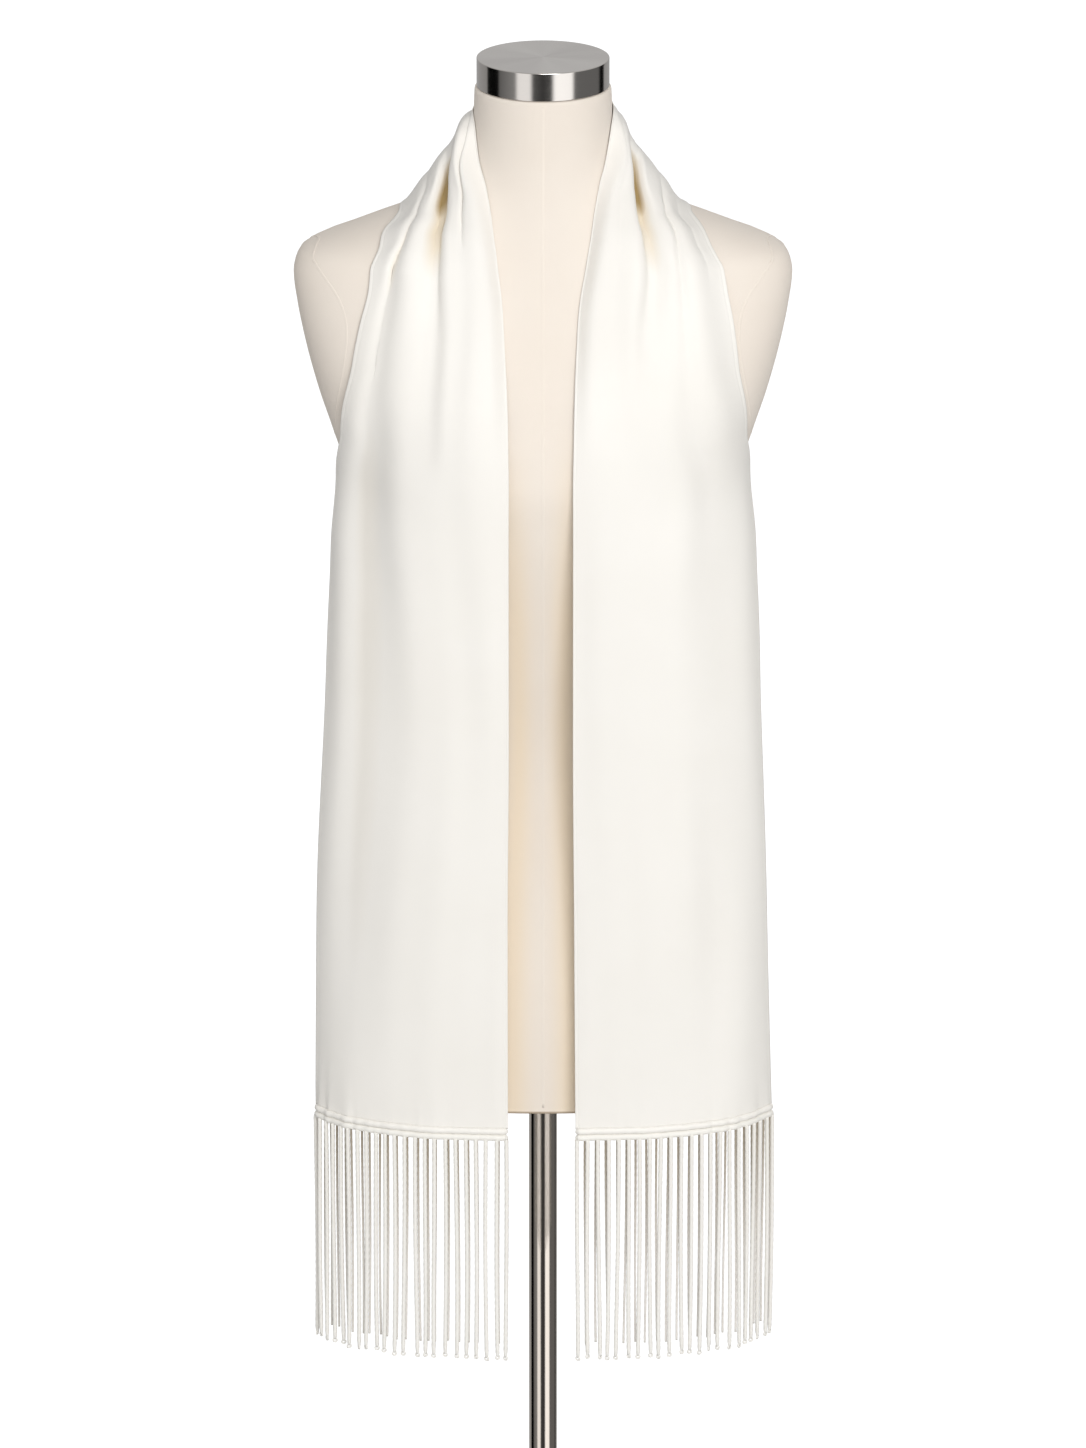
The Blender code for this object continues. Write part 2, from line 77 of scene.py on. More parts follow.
def gridPiece(name, points, uv=None, ring=False, closeEnds=False, marks=None):
    # A skin through rows of points. A ring's rows close on themselves, and marks are named values at
    # each point.
    rows, columns = points.shape[:2]
    index = np.arange(rows * columns).reshape(rows, columns)
    if ring:
        index = np.concatenate((index, index[:, :1]), axis=1)
    corners = (index[:-1, :-1], index[1:, :-1], index[1:, 1:], index[:-1, 1:])
    faces = np.stack(corners, axis=-1).reshape(-1, 4).tolist()
    if closeEnds:
        faces += [index[0, :columns].tolist(), index[-1, :columns][::-1].tolist()]
    mesh = bpy.data.meshes.new(name)
    mesh.from_pydata(points.reshape(-1, 3).tolist(), [], faces)
    for mark, values in (marks or {}).items():
        mesh.attributes.new(mark, "FLOAT", "POINT").data.foreach_set("value", values.ravel())
    if uv is not None:
        skin = np.stack((uv[:-1, :-1], uv[1:, :-1], uv[1:, 1:], uv[:-1, 1:]), axis=2).reshape(-1, 2)
        ends = [uv[0, :columns], uv[-1, :columns][::-1]] if closeEnds else []
        mesh.uv_layers.new(name="UVMap").data.foreach_set("uv", np.concatenate([skin] + ends).ravel())
    mesh.shade_smooth()
    return linkPiece(name, mesh)


def faceOutwards(piece):
    edit = bmesh.new()
    edit.from_mesh(piece.data)
    bmesh.ops.recalc_face_normals(edit, faces=edit.faces)
    edit.to_mesh(piece.data)
    edit.free()
    return piece


def joinPieces(name, pieces):
    edit = bmesh.new()
    for piece in pieces:
        edit.from_mesh(piece.data)
        bpy.data.objects.remove(piece)
    mesh = bpy.data.meshes.new(name)
    edit.to_mesh(mesh)
    edit.free()
    return linkPiece(name, mesh)


def lengthAlong(path):
    steps = np.linalg.norm(np.diff(path, axis=0), axis=1)
    return np.concatenate(([0.0], np.cumsum(steps)))


def unit(vectors):
    return vectors / np.linalg.norm(vectors, axis=-1, keepdims=True)


def stacked(*parts):
    # Points from their coordinates, each stretched to the same shape
    return np.stack(np.broadcast_arrays(*parts), axis=-1)


def bell(x):
    return np.exp(-(x ** 2))


def onceRound(count):
    # Angles round a circle, with the first one again at the end
    return np.linspace(0.0, 2 * math.pi, count + 1)


def closedSkin(name, points, uv=None, marks=None):
    return faceOutwards(gridPiece(name, points, uv, ring=True, closeEnds=True, marks=marks))


def tubePiece(name, path, sideways, radius, sides):
    # A round cord along a path; sideways keeps its rings from turning
    tangent = unit(np.gradient(path, axis=0))
    across = unit(np.cross(tangent, sideways))
    level = np.cross(across, tangent)
    turn = onceRound(sides)
    spokes = across[:, None] * np.cos(turn[:-1])[:, None] + level[:, None] * np.sin(turn[:-1])[:, None]
    uv = stacked(turn * radius, lengthAlong(path)[:, None])
    return closedSkin(name, path[:, None] + radius * spokes, uv)


def turnedPiece(name, profile, sides):
    # A turned solid from (radius, height) points, from the middle of its top to that of its underside
    radius, height = np.array(profile).T[..., None]
    turn = onceRound(sides)[:-1]
    return closedSkin(name, stacked(radius * np.cos(turn), radius * np.sin(turn), height))


def roundCorner(radius, height, size, steps, top):
    # Points of a rounded edge at (radius, height), top or bottom
    turn = np.linspace(0.0, math.pi / 2, steps)
    if top:
        return [(radius - size + size * math.sin(a), height - size + size * math.cos(a)) for a in turn]
    return [(radius - size + size * math.cos(a), height + size - size * math.sin(a)) for a in turn]


# Node helpers

floatSocket = "NodeSocketFloat"
vectorSocket = "NodeSocketVector"
colourSocket = "NodeSocketColor"


def socket(sockets, key):
    if isinstance(key, int):
        return sockets[key]
    return next(item for item in sockets if item.name == key and item.enabled)


def put(tree, kind, inputs=None, **settings):
    # One node with its settings; an input takes a value or the output of another node
    node = tree.nodes.new(kind)
    for name, value in settings.items():
        setattr(node, name, value)
    for key, value in (inputs or {}).items():
        if isinstance(value, bpy.types.NodeSocket):
            tree.links.new(value, socket(node.inputs, key))
        else:
            socket(node.inputs, key).default_value = value
    return node


def calc(tree, operation, *values):
    return put(tree, "ShaderNodeMath", dict(enumerate(values)), operation=operation).outputs[0]


def splitXyz(tree, vector):
    return put(tree, "ShaderNodeSeparateXYZ", {0: vector}).outputs


def joinXyz(tree, x=0.0, y=0.0, z=0.0):
    return put(tree, "ShaderNodeCombineXYZ", {"X": x, "Y": y, "Z": z}).outputs[0]


def ranged(tree, value, low, high, top=1.0):
    # A value between low and high as a share of top
    inputs = {"Value": value, "From Min": low, "From Max": high, "To Max": top}
    return put(tree, "ShaderNodeMapRange", inputs).outputs[0]


def mixColour(tree, factor, a, b, **settings):
    node = put(tree, "ShaderNodeMix", {"Factor": factor, "A": a, "B": b}, data_type="RGBA", **settings)
    return socket(node.outputs, "Result")


def fillGroup(tree, group, inputs):
    return put(tree, "ShaderNodeGroup", inputs, node_tree=group).outputs


def bump(tree, shader, height, distance):
    node = put(tree, "ShaderNodeBump", {"Height": height, "Distance": distance})
    tree.links.new(node.outputs[0], shader.inputs["Normal"])


def newGroup(name, kind, inputs, outputs):
    # A node tree, with what it is given and what it puts out
    tree = bpy.data.node_groups.new(name, kind)
    for label, (kindOfSocket, value) in inputs.items():
        item = tree.interface.new_socket(label, in_out="INPUT", socket_type=kindOfSocket)
        if value is not None:
            item.default_value = value
    for label, kindOfSocket in outputs.items():
        tree.interface.new_socket(label, in_out="OUTPUT", socket_type=kindOfSocket)
    return tree, tree.nodes.new("NodeGroupInput").outputs, tree.nodes.new("NodeGroupOutput").inputs


def newMaterial(name, constants):
    material = bpy.data.materials.new(name)
    material.use_nodes = True
    shader = material.node_tree.nodes["Principled BSDF"]
    for label, value in constants.items():
        shader.inputs[label].default_value = value
    return material, material.node_tree, shader


def dress(piece, material, slot, *nodes):
    piece.data.materials.clear()
    piece.data.materials.append(material)
    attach(piece, bodyName)
    if nodes:
        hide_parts(*nodes)
    return piece


# Ring surfaces, which the torso and the cloth lie on
# A ring is a rounded rectangle round the upright axis, at a height over the torso's underside.
# Power 2 is an ellipse, and more than 2 is squarer.

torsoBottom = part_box("form_body")[0].z
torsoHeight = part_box("form_body")[1].z - torsoBottom


def table(names, rows):
    # The columns of a table by name
    return dict(zip(names.split(), np.array(rows).T))


def ringTable(*rows):
    return table("height halfWidth front back power", rows)


def smooth(stops, values, at):
    # Values between stops on a curve that keeps every rise and fall of the table
    stops, values = np.asarray(stops, dtype=float), np.asarray(values, dtype=float)
    at = np.clip(np.asarray(at, dtype=float), stops[0], stops[-1])
    slopes = np.diff(values) / np.diff(stops)
    before, after = slopes[:-1], slopes[1:]
    total = np.where(before + after == 0.0, 1.0, before + after)
    middle = np.where(before * after > 0.0, 2.0 * before * after / total, 0.0)
    tangents = np.concatenate((slopes[:1], middle, slopes[-1:]))
    index = np.clip(np.searchsorted(stops, at, side="right") - 1, 0, len(stops) - 2)
    span = stops[index + 1] - stops[index]
    x = (at - stops[index]) / span
    return (
        values[index] * (1 + 2 * x) * (1 - x) ** 2
        + tangents[index] * span * x * (1 - x) ** 2
        + values[index + 1] * x * x * (3 - 2 * x)
        + tangents[index + 1] * span * x * x * (x - 1)
    )


def ringPoint(rings, angle, height):
    # The point at an angle in degrees from the front, positive towards -X
    halfWidth, front, back, power = (
        smooth(rings["height"], rings[name], height) for name in ("halfWidth", "front", "back", "power")
    )
    side, ahead = np.sin(np.radians(angle)), np.cos(np.radians(angle))
    depth = np.where(ahead > 0.0, front, back)
    reach = (np.abs(side / halfWidth) ** power + np.abs(ahead / depth) ** power) ** (-1.0 / power)
    return stacked(-reach * side, -reach * ahead, torsoBottom + height)


def ringNormal(rings, angle, height):
    stepAngle, stepHeight = 0.2, 0.0005
    across = ringPoint(rings, angle + stepAngle, height) - ringPoint(rings, angle - stepAngle, height)
    up = ringPoint(rings, angle, height + stepHeight) - ringPoint(rings, angle, height - stepHeight)
    return unit(np.cross(up, across))


# Scarf: one strip of satin from hem to hem
# At is the way along it from the centre back. Stations give its two edges there: angle round the axis and
# height over the torso's underside. Ridge is how far the folds stand out, and edge is how much of that the
# edges lack. Troughs part the folds: place and their widths to each side are shares of the strip's width,
# and depth is a share of the ridge. In pairs, the first number is the way along.

def stationTable(*rows):
    return table("at innerAngle innerHeight outerAngle outerHeight ridge edge", rows)


def troughTable(*rows):
    return table("at place inner outer depth", rows)


scarf = {
    "wall": 0.0007,
    "rest": 0.0014,  # how far the cloth's middle stands off its rings
    "width": 0.165,
    "hemAt": 0.920,  # half the length of the strip
    "innerRoll": 0.08,  # shares of the width over which the folds die out at the edges
    "outerRoll": 0.15,
    "hugWidth": 0.10,  # share of the width that lies close on the torso
    "hugAlong": ((0.0, 1.0), (0.240, 1.0), (0.420, 0.0)),
    "hugRest": 0.0009,
    "sharpness": ((0.240, 1.5), (0.350, 2.2)),  # of the troughs' sides
    "cliff": 4.0,  # sharpness of the deep trough's near side
    "hollowShade": ((0.116, 0.0), (0.136, 1.0), (0.176, 1.0), (0.200, 0.0)),  # where the folds close, painted dark shade
    "creaseShadeAlong": ((0.215, 1.0), (0.245, 0.4), (0.330, 0.4), (0.420, 0.62), (0.920, 0.62)),  # painted crease shade, its strength along the strip
    "rowPitch": ((0.420, 0.0032), (0.875, 0.0065), (0.920, 0.0020)),  # length of the mesh's faces
    "bandColumns": (12, 26, 18, 8, 16),  # faces across, between the troughs
    "innerTurned": 0.0028,
    "outerTurned": 0.0034,
    "turnedShares": (0.0, 0.2, 0.5, 0.75, 0.88, 1.0, 1.12, 1.3, 1.6),  # mesh lines over a turned edge
    "turnedRise": 0.00003,
    "stitchSink": 0.00013,
    "stitchSpread": 0.13,
    "crowding": 0.09,  # of the mesh lines beside a trough
    "stillNeck": (0.30, 0.25),  # the waves grow up to this place, from this share of their size
    "waves": ((0.0005, 0.062, 2.1, 7.1, 0.5, 0.0), (0.0002, 0.031, 1.7, 11.3, 1.9, 1.3)),
    "slowWave": (0.0003, 21.0, 60.0),
    "puckers": (
        (0.00065, 0.0135, 1.6, 90.0, 0.016),
        (0.00038, 0.0074, 1.3, 140.0, 0.010),
        (0.00006, 0.0052, 2.3, 61.0, 0.005),
    ),
    "deepTrough": 1,  # the one whose near side is drawn over it
    "overlap": ((0.120, 0.0), (0.150, 0.1), (0.190, 0.15), (0.230, 0.2), (0.290, 0.0)),
    "overlapSpread": 0.35,
    "drapeRings": ringTable(
        (-0.030, 0.1853, 0.1180, 0.1000, 3.00),
        (0.174, 0.1795, 0.1180, 0.1000, 3.00),
        (0.354, 0.1720, 0.1180, 0.1000, 2.90),
        (0.450, 0.1650, 0.1178, 0.1010, 2.70),
        (0.500, 0.1600, 0.1172, 0.1010, 2.50),
        (0.531, 0.1645, 0.1152, 0.1020, 2.45),
        (0.563, 0.1745, 0.1098, 0.1020, 2.45),
        (0.595, 0.1830, 0.1003, 0.1000, 2.40),
        (0.627, 0.1895, 0.0887, 0.0950, 2.35),
        (0.652, 0.1925, 0.0792, 0.0892, 2.30),
        (0.667, 0.1885, 0.0742, 0.0857, 2.30),
        (0.675, 0.1775, 0.0712, 0.0834, 2.25),
        (0.683, 0.1562, 0.0686, 0.0814, 2.20),
        (0.691, 0.1352, 0.0662, 0.0786, 2.15),
        (0.7005, 0.1090, 0.0636, 0.0758, 2.00),
        (0.726, 0.0835, 0.0570, 0.0690, 1.65),
        (0.759, 0.0605, 0.0540, 0.0600, 1.85),
        (0.7765, 0.0550, 0.0536, 0.0555, 2.00),
        (0.796, 0.0535, 0.0535, 0.0535, 2.00),
    ),
    "leftStations": stationTable(
        (0.000, 180.0, 0.7800, 180.0, 0.6880, 0.0060, 1.0),
        (0.066, 135.0, 0.7790, 136.0, 0.6940, 0.0060, 1.0),
        (0.127, 90.0, 0.7780, 90.0, 0.7005, 0.0050, 1.0),
        (0.150, 77.5, 0.7725, 81.0, 0.6970, 0.0075, 1.0),
        (0.172, 65.5, 0.7535, 74.0, 0.6895, 0.0100, 1.0),
        (0.199, 45.0, 0.7265, 67.5, 0.6760, 0.0115, 1.0),
        (0.241, 29.0, 0.6855, 64.5, 0.6440, 0.0105, 1.0),
        (0.295, 19.0, 0.6285, 64.0, 0.5980, 0.0080, 1.0),
        (0.363, 13.5, 0.5560, 68.0, 0.5410, 0.0080, 0.7),
        (0.411, 12.5, 0.5025, 73.0, 0.5025, 0.0080, 0.5),
        (0.500, 12.5, 0.4135, 70.0, 0.4135, 0.0078, 0.4),
        (0.600, 12.5, 0.3135, 68.5, 0.3135, 0.0073, 0.3),
        (0.760, 13.0, 0.1535, 69.5, 0.1535, 0.0066, 0.3),
        (0.920, 13.0, -0.0065, 69.5, -0.0065, 0.0040, 0.1),
    ),
    "rightStations": stationTable(
        (0.000, 180.0, 0.7800, 180.0, 0.6880, 0.0060, 1.0),
        (0.066, 135.0, 0.7840, 136.0, 0.6940, 0.0060, 1.0),
        (0.127, 90.0, 0.7800, 90.0, 0.6985, 0.0050, 1.0),
        (0.150, 78.0, 0.7735, 80.0, 0.6945, 0.0075, 1.0),
        (0.172, 64.0, 0.7545, 73.5, 0.6875, 0.0100, 1.0),
        (0.199, 45.0, 0.7280, 68.5, 0.6730, 0.0115, 1.0),
        (0.241, 28.5, 0.6865, 66.5, 0.6400, 0.0105, 1.0),
        (0.295, 17.0, 0.6300, 65.5, 0.5950, 0.0080, 1.0),
        (0.363, 12.0, 0.5570, 70.0, 0.5400, 0.0055, 0.7),
        (0.411, 11.0, 0.5025, 76.0, 0.5025, 0.0040, 0.4),
        (0.500, 11.0, 0.4135, 71.0, 0.4135, 0.0040, 0.2),
        (0.600, 11.0, 0.3135, 69.0, 0.3135, 0.0040, 0.2),
        (0.760, 11.5, 0.1535, 69.0, 0.1535, 0.0040, 0.2),
        (0.920, 12.0, -0.0065, 70.0, -0.0065, 0.0040, 0.1),
    ),
    "leftTroughs": (
        troughTable(
            (0.000, 0.150, 0.050, 0.050, 0.50),
            (0.127, 0.050, 0.016, 0.022, 0.50),
            (0.142, 0.070, 0.016, 0.022, 0.50),
            (0.165, 0.110, 0.016, 0.022, 0.50),
            (0.183, 0.190, 0.018, 0.024, 0.36),
            (0.197, 0.285, 0.018, 0.024, 0.27),
            (0.214, 0.312, 0.020, 0.026, 0.18),
            (0.232, 0.315, 0.024, 0.030, 0.00),
            (0.920, 0.310, 0.020, 0.025, 0.00),
        ),
        troughTable(
            (0.000, 0.380, 0.060, 0.060, 0.80),
            (0.127, 0.420, 0.140, 0.040, 0.15),
            (0.144, 0.460, 0.170, 0.030, 0.60),
            (0.160, 0.510, 0.200, 0.022, 1.00),
            (0.172, 0.555, 0.190, 0.028, 1.00),
            (0.185, 0.595, 0.160, 0.042, 1.00),
            (0.199, 0.600, 0.130, 0.060, 1.00),
            (0.214, 0.575, 0.095, 0.085, 0.95),
            (0.232, 0.580, 0.090, 0.100, 0.85),
            (0.255, 0.590, 0.095, 0.110, 0.70),
            (0.285, 0.585, 0.105, 0.120, 0.60),
            (0.363, 0.530, 0.110, 0.130, 0.40),
            (0.411, 0.500, 0.120, 0.130, 0.05),
            (0.920, 0.500, 0.120, 0.130, 0.00),
        ),
        troughTable(
            (0.000, 0.640, 0.060, 0.060, 0.70),
            (0.127, 0.680, 0.050, 0.050, 0.15),
            (0.150, 0.720, 0.040, 0.035, 0.20),
            (0.172, 0.780, 0.035, 0.035, 0.30),
            (0.216, 0.850, 0.050, 0.035, 0.65),
            (0.248, 0.880, 0.075, 0.060, 0.90),
            (0.280, 0.875, 0.085, 0.065, 1.00),
            (0.313, 0.860, 0.095, 0.070, 1.00),
            (0.347, 0.830, 0.120, 0.070, 1.00),
            (0.411, 0.785, 0.155, 0.100, 1.00),
            (0.500, 0.760, 0.165, 0.105, 1.00),
            (0.600, 0.765, 0.165, 0.105, 1.00),
            (0.760, 0.780, 0.170, 0.105, 0.95),
            (0.860, 0.790, 0.180, 0.105, 0.65),
            (0.920, 0.790, 0.190, 0.105, 0.30),
        ),
        troughTable(
            (0.000, 0.860, 0.050, 0.050, 0.30),
            (0.127, 0.860, 0.050, 0.050, 0.00),
            (0.920, 0.900, 0.060, 0.060, 0.00),
        ),
    ),
    "rightTroughs": (
        troughTable(
            (0.000, 0.150, 0.050, 0.050, 0.50),
            (0.127, 0.100, 0.030, 0.040, 0.30),
            (0.150, 0.120, 0.030, 0.040, 0.15),
            (0.172, 0.170, 0.060, 0.060, 0.10),
            (0.241, 0.270, 0.100, 0.100, 0.20),
            (0.295, 0.290, 0.120, 0.120, 0.30),
            (0.363, 0.260, 0.120, 0.120, 0.25),
            (0.411, 0.250, 0.120, 0.120, 0.00),
            (0.920, 0.250, 0.120, 0.120, 0.00),
        ),
        troughTable(
            (0.000, 0.380, 0.060, 0.060, 0.80),
            (0.127, 0.420, 0.180, 0.040, 0.25),
            (0.150, 0.430, 0.210, 0.022, 0.90),
            (0.164, 0.460, 0.210, 0.022, 1.00),
            (0.173, 0.500, 0.190, 0.030, 1.00),
            (0.188, 0.540, 0.130, 0.045, 1.00),
            (0.209, 0.535, 0.100, 0.070, 0.80),
            (0.228, 0.555, 0.100, 0.090, 0.70),
            (0.246, 0.565, 0.100, 0.100, 0.55),
            (0.295, 0.540, 0.110, 0.110, 0.40),
            (0.363, 0.470, 0.120, 0.120, 0.30),
            (0.411, 0.440, 0.130, 0.130, 0.20),
            (0.920, 0.450, 0.130, 0.130, 0.00),
        ),
        troughTable(
            (0.000, 0.640, 0.060, 0.060, 0.70),
            (0.127, 0.680, 0.050, 0.050, 0.15),
            (0.158, 0.740, 0.025, 0.030, 0.30),
            (0.196, 0.740, 0.025, 0.030, 0.35),
            (0.218, 0.715, 0.030, 0.035, 0.30),
            (0.242, 0.730, 0.035, 0.045, 0.30),
            (0.295, 0.720, 0.060, 0.070, 0.30),
            (0.363, 0.660, 0.090, 0.100, 0.50),
            (0.411, 0.700, 0.100, 0.110, 0.55),
            (0.600, 0.730, 0.110, 0.110, 0.60),
            (0.800, 0.730, 0.110, 0.110, 0.55),
            (0.920, 0.720, 0.120, 0.120, 0.25),
        ),
        troughTable(
            (0.000, 0.860, 0.050, 0.050, 0.30),
            (0.127, 0.880, 0.030, 0.030, 0.10),
            (0.152, 0.900, 0.025, 0.025, 0.25),
            (0.200, 0.890, 0.025, 0.030, 0.25),
            (0.241, 0.890, 0.040, 0.040, 0.00),
            (0.920, 0.900, 0.060, 0.060, 0.00),
        ),
    ),
}


def bothHalves(left, right, name):
    # One column over the whole scarf: the photo's left half below zero, the right above
    before, after = left[name][::-1], right[name][1:]
    if name == "at":
        before = -before
    if name.endswith("Angle"):
        after = 360.0 - after
    return np.concatenate((before, after))


def stationValues(at, *names):
    halves = scarf["leftStations"], scarf["rightStations"]
    return [smooth(bothHalves(*halves, "at"), bothHalves(*halves, name), at) for name in names]


def troughValues(number, at):
    halves = scarf["leftTroughs"][number], scarf["rightTroughs"][number]
    stops = bothHalves(*halves, "at")
    return [smooth(stops, bothHalves(*halves, name), at) for name in ("place", "inner", "outer", "depth")]


def fromCentre(name, at):
    # A value that changes the same way down both halves
    return smooth(*zip(*scarf[name]), np.abs(at))


def softWaves(at, across):
    # Slow uneven waves of the hanging cloth, mostly along it: size, pitch across it, how far the wave
    # wanders, how fast and from where, and where it starts
    u = across * scarf["width"]
    size, down, slant = scarf["slowWave"]
    total = size * np.sin(down * at + slant * u)
    for size, pitch, wander, rate, wanderStart, start in scarf["waves"]:
        moved = wander * np.sin(rate * at + wanderStart)
        total = total + size * np.sin(2 * math.pi * u / pitch + moved + start)
    reach, least = scarf["stillNeck"]
    return np.clip(np.abs(at) / reach, least, 1.0) * total


def hemPuckers(at, across):
    # Small puckers that the hem's stitches draw into the cloth: wide ones that grow towards the outer
    # edge, small ones in the outer third and fine ones all along. Each has a size, a pitch, how far and
    # how fast that wanders, and the height over which it fades.
    up = scarf["hemAt"] - np.abs(at)
    u = across * scarf["width"] + 0.02 * np.sign(at)
    shares = 0.15 + 0.85 * across ** 3, bell((across - 0.80) / 0.11), 1.0
    total = 0.0
    for share, (size, pitch, wander, rate, fade) in zip(shares, scarf["puckers"]):
        wave = np.sin(2 * math.pi * u / pitch + wander * np.sin(rate * u))
        total = total + size * share * wave * np.exp(-up / fade)
    return total


def turnedEdge(across):
    # The narrow turned edges, each with a sunk line of stitches beside it
    inner = across * scarf["width"] / scarf["innerTurned"]
    outer = (1.0 - across) * scarf["width"] / scarf["outerTurned"]
    stitched = bell((inner - 1.0) / scarf["stitchSpread"]) + bell((outer - 1.0) / scarf["stitchSpread"])
    return scarf["turnedRise"] * (np.minimum(inner, outer) < 0.97) - scarf["stitchSink"] * stitched


def foldedDepth(at, across):
    # How far each point is sunk in a trough, from 0 to 1, and its place once the deep trough's near side
    # is drawn over it
    sunk = np.zeros_like(across)
    for number in range(len(scarf["leftTroughs"])):
        place, inner, outer, depth = troughValues(number, at)
        gap = (across - place) / np.where(across < place, inner, outer)
        power = fromCentre("sharpness", at) + 0.0 * gap
        if number == scarf["deepTrough"]:
            power[gap < 0.0] = scarf["cliff"]
            drawn = fromCentre("overlap", at) * inner * bell((gap + 1.0) / scarf["overlapSpread"])
        sunk = sunk + depth * np.exp(-(np.abs(gap) ** power))
    return np.minimum(sunk, 1.0), across + drawn


def clothSurface(at, across):
    # Points of the cloth's middle, then two painted shades: how deep in the neck's folds each lies, and that
    # again near the closed tops of the deep ones. At is metres from the centre back, and across the share of
    # the width from the neck.
    innerAngle, innerHeight, outerAngle, outerHeight, ridge, edge = stationValues(
        at, "innerAngle", "innerHeight", "outerAngle", "outerHeight", "ridge", "edge"
    )
    sunk, moved = foldedDepth(at, across)
    angle = innerAngle + (outerAngle - innerAngle) * moved
    height = innerHeight + (outerHeight - innerHeight) * moved
    rise = 1.0 - edge * bell(across / scarf["innerRoll"])
    fall = 1.0 - edge * bell((1.0 - across) / scarf["outerRoll"])
    lift = ridge * rise * fall * (1.0 - sunk) + softWaves(at, across)
    lift = lift + hemPuckers(at, across) + turnedEdge(across)
    draped, close = (
        ringPoint(rings, angle, height) + ringNormal(rings, angle, height) * (lift + rest)[..., None]
        for rings, rest in ((scarf["drapeRings"], scarf["rest"]), (form["rings"], scarf["hugRest"]))
    )
    hug = fromCentre("hugAlong", at) * bell(across / scarf["hugWidth"])
    paintedCreaseShade = sunk * ridge / max(bothHalves(scarf["leftStations"], scarf["rightStations"], "ridge"))
    points = draped + (close - draped) * hug[..., None]
    return points, paintedCreaseShade * fromCentre("creaseShadeAlong", at), paintedCreaseShade * fromCentre("hollowShade", at)


def scarfRows():
    stops, start = [], 0.0
    for end, pitch in scarf["rowPitch"]:
        stops.append(np.linspace(start, end, 1 + math.ceil((end - start) / pitch))[:-1])
        start = end
    half = np.concatenate(stops + [[scarf["hemAt"]]])
    return np.concatenate((-half[::-1], half[1:]))


def scarfColumns(at):
    # Shares of the width for one row: the lines between the turned edges run along the troughs
    inner, outer = (
        np.array(scarf["turnedShares"]) * scarf[name] / scarf["width"]
        for name in ("innerTurned", "outerTurned")
    )
    places = [float(troughValues(number, at)[0]) for number in range(len(scarf["leftTroughs"]))]
    stops = [inner[-1]] + places + [1.0 - outer[-1]]
    bands = []
    for low, high, count in zip(stops, stops[1:], scarf["bandColumns"]):
        share = np.linspace(0.0, 1.0, count + 1)[1:]
        share = share - scarf["crowding"] * np.sin(2 * math.pi * share)
        bands.append(low + (high - low) * share)
    return np.concatenate([inner] + bands + [1.0 - outer[-2::-1]])


def makeScarf():
    rows = scarfRows()
    across = np.array([scarfColumns(at) for at in rows])
    at = np.broadcast_to(rows[:, None], across.shape)
    points, creaseShade, hollowShade = clothSurface(at, across)
    uv = stacked(across * scarf["width"], at)
    cloth = gridPiece("scarfCloth", points, uv, marks={"creaseShade": creaseShade, "hollowShade": hollowShade})
    wall = cloth.modifiers.new("wall", "SOLIDIFY")
    wall.thickness = scarf["wall"]
    wall.offset = 0.0
    wall.use_even_offset = False
    return cloth


def hemLine(side, count, drop):
    # Points along the cloth's end, moved down, with their outward directions
    across = np.linspace(0.0, 1.0, count)
    points = clothSurface(np.full(count, side * scarf["hemAt"]), across)[0]
    along = np.gradient(points, axis=0)
    outward = unit(stacked(along[:, 1], -along[:, 0], 0.0)) * side
    points[:, 2] -= drop
    return points, outward


# End hems and fringe headings

hem = {
    "halfHeight": 0.0026,
    "halfDepth": 0.0024,
    "drop": 0.0020,
    "points": 340,
    "sides": 18,
    "crimp": (0.020, 390.0, 1.5, 150.0),
    "pinch": 0.016,
    "pinchRate": 410.0,
    "stitchPitch": 0.0037,
    "stitchLength": 0.0015,
    "stitchThread": 0.00013,
    "stitchArch": 0.0006,
    "stitchOut": 0.0019,
    "stitchUp": 0.0016,
    "stitchTurn": 0.15,
    "stitchSeed": 5,
}
heading = {
    "halfHeight": 0.0026,
    "halfDepth": 0.0027,
    "drop": 0.0071,
    "points": 480,
    "sides": 18,
    "crimp": (0.015, 330.0, 1.2, 170.0),
    "cordPitch": 0.0079,
    "cordRelief": 0.020,
}


def rollPiece(name, path, outward, facts, swell):
    # A roll along a level path with round ends; swell(length, turn) is its size at each point
    turn = onceRound(facts["sides"])
    along = lengthAlong(path)[:, None]
    inward = np.clip(np.minimum(along, along[-1] - along) / facts["halfHeight"], 0.02, 1.0)
    size = swell(along, turn[:-1]) * np.sqrt(1.0 - (1.0 - inward) ** 2)
    level = outward[:, None] * (facts["halfDepth"] * np.cos(turn[:-1]))[:, None]
    upright = np.array((0.0, 0.0, 1.0)) * (facts["halfHeight"] * np.sin(turn[:-1]))[:, None]
    uv = stacked(turn * facts["halfHeight"], along)
    return closedSkin(name, path[:, None] + (level + upright) * size[..., None], uv)


def softCrimp(along, turn, facts):
    # Uneven swelling along a roll and round it: size, rate, how far that wanders and how fast
    size, rate, wander, wanderRate = facts["crimp"]
    return size * np.sin(rate * along + wander * np.sin(wanderRate * along) + turn)


def hemSwell(along, turn):
    # The stitches pinch the roll a little
    pinch = np.cos(math.pi * along / hem["stitchPitch"]) ** 2
    uneven = 0.6 + 0.4 * np.sin(hem["pinchRate"] * along)
    return 1.0 + softCrimp(along, turn, hem) - hem["pinch"] * pinch * uneven


def headingSwell(along, turn):
    # Small cords wound round the heading
    wound = np.sin(2 * math.pi * along / heading["cordPitch"] + 0.4 * turn)
    return 1.0 + softCrimp(along, turn, heading) + heading["cordRelief"] * wound


# Fringe: softly twisted cords, the front ones with a small loop at the end, the rear ones cut square.
# Out and along are where a row stands from the cloth's middle; turn, lean, shorter and sway are the most
# by which a cord differs from the next.

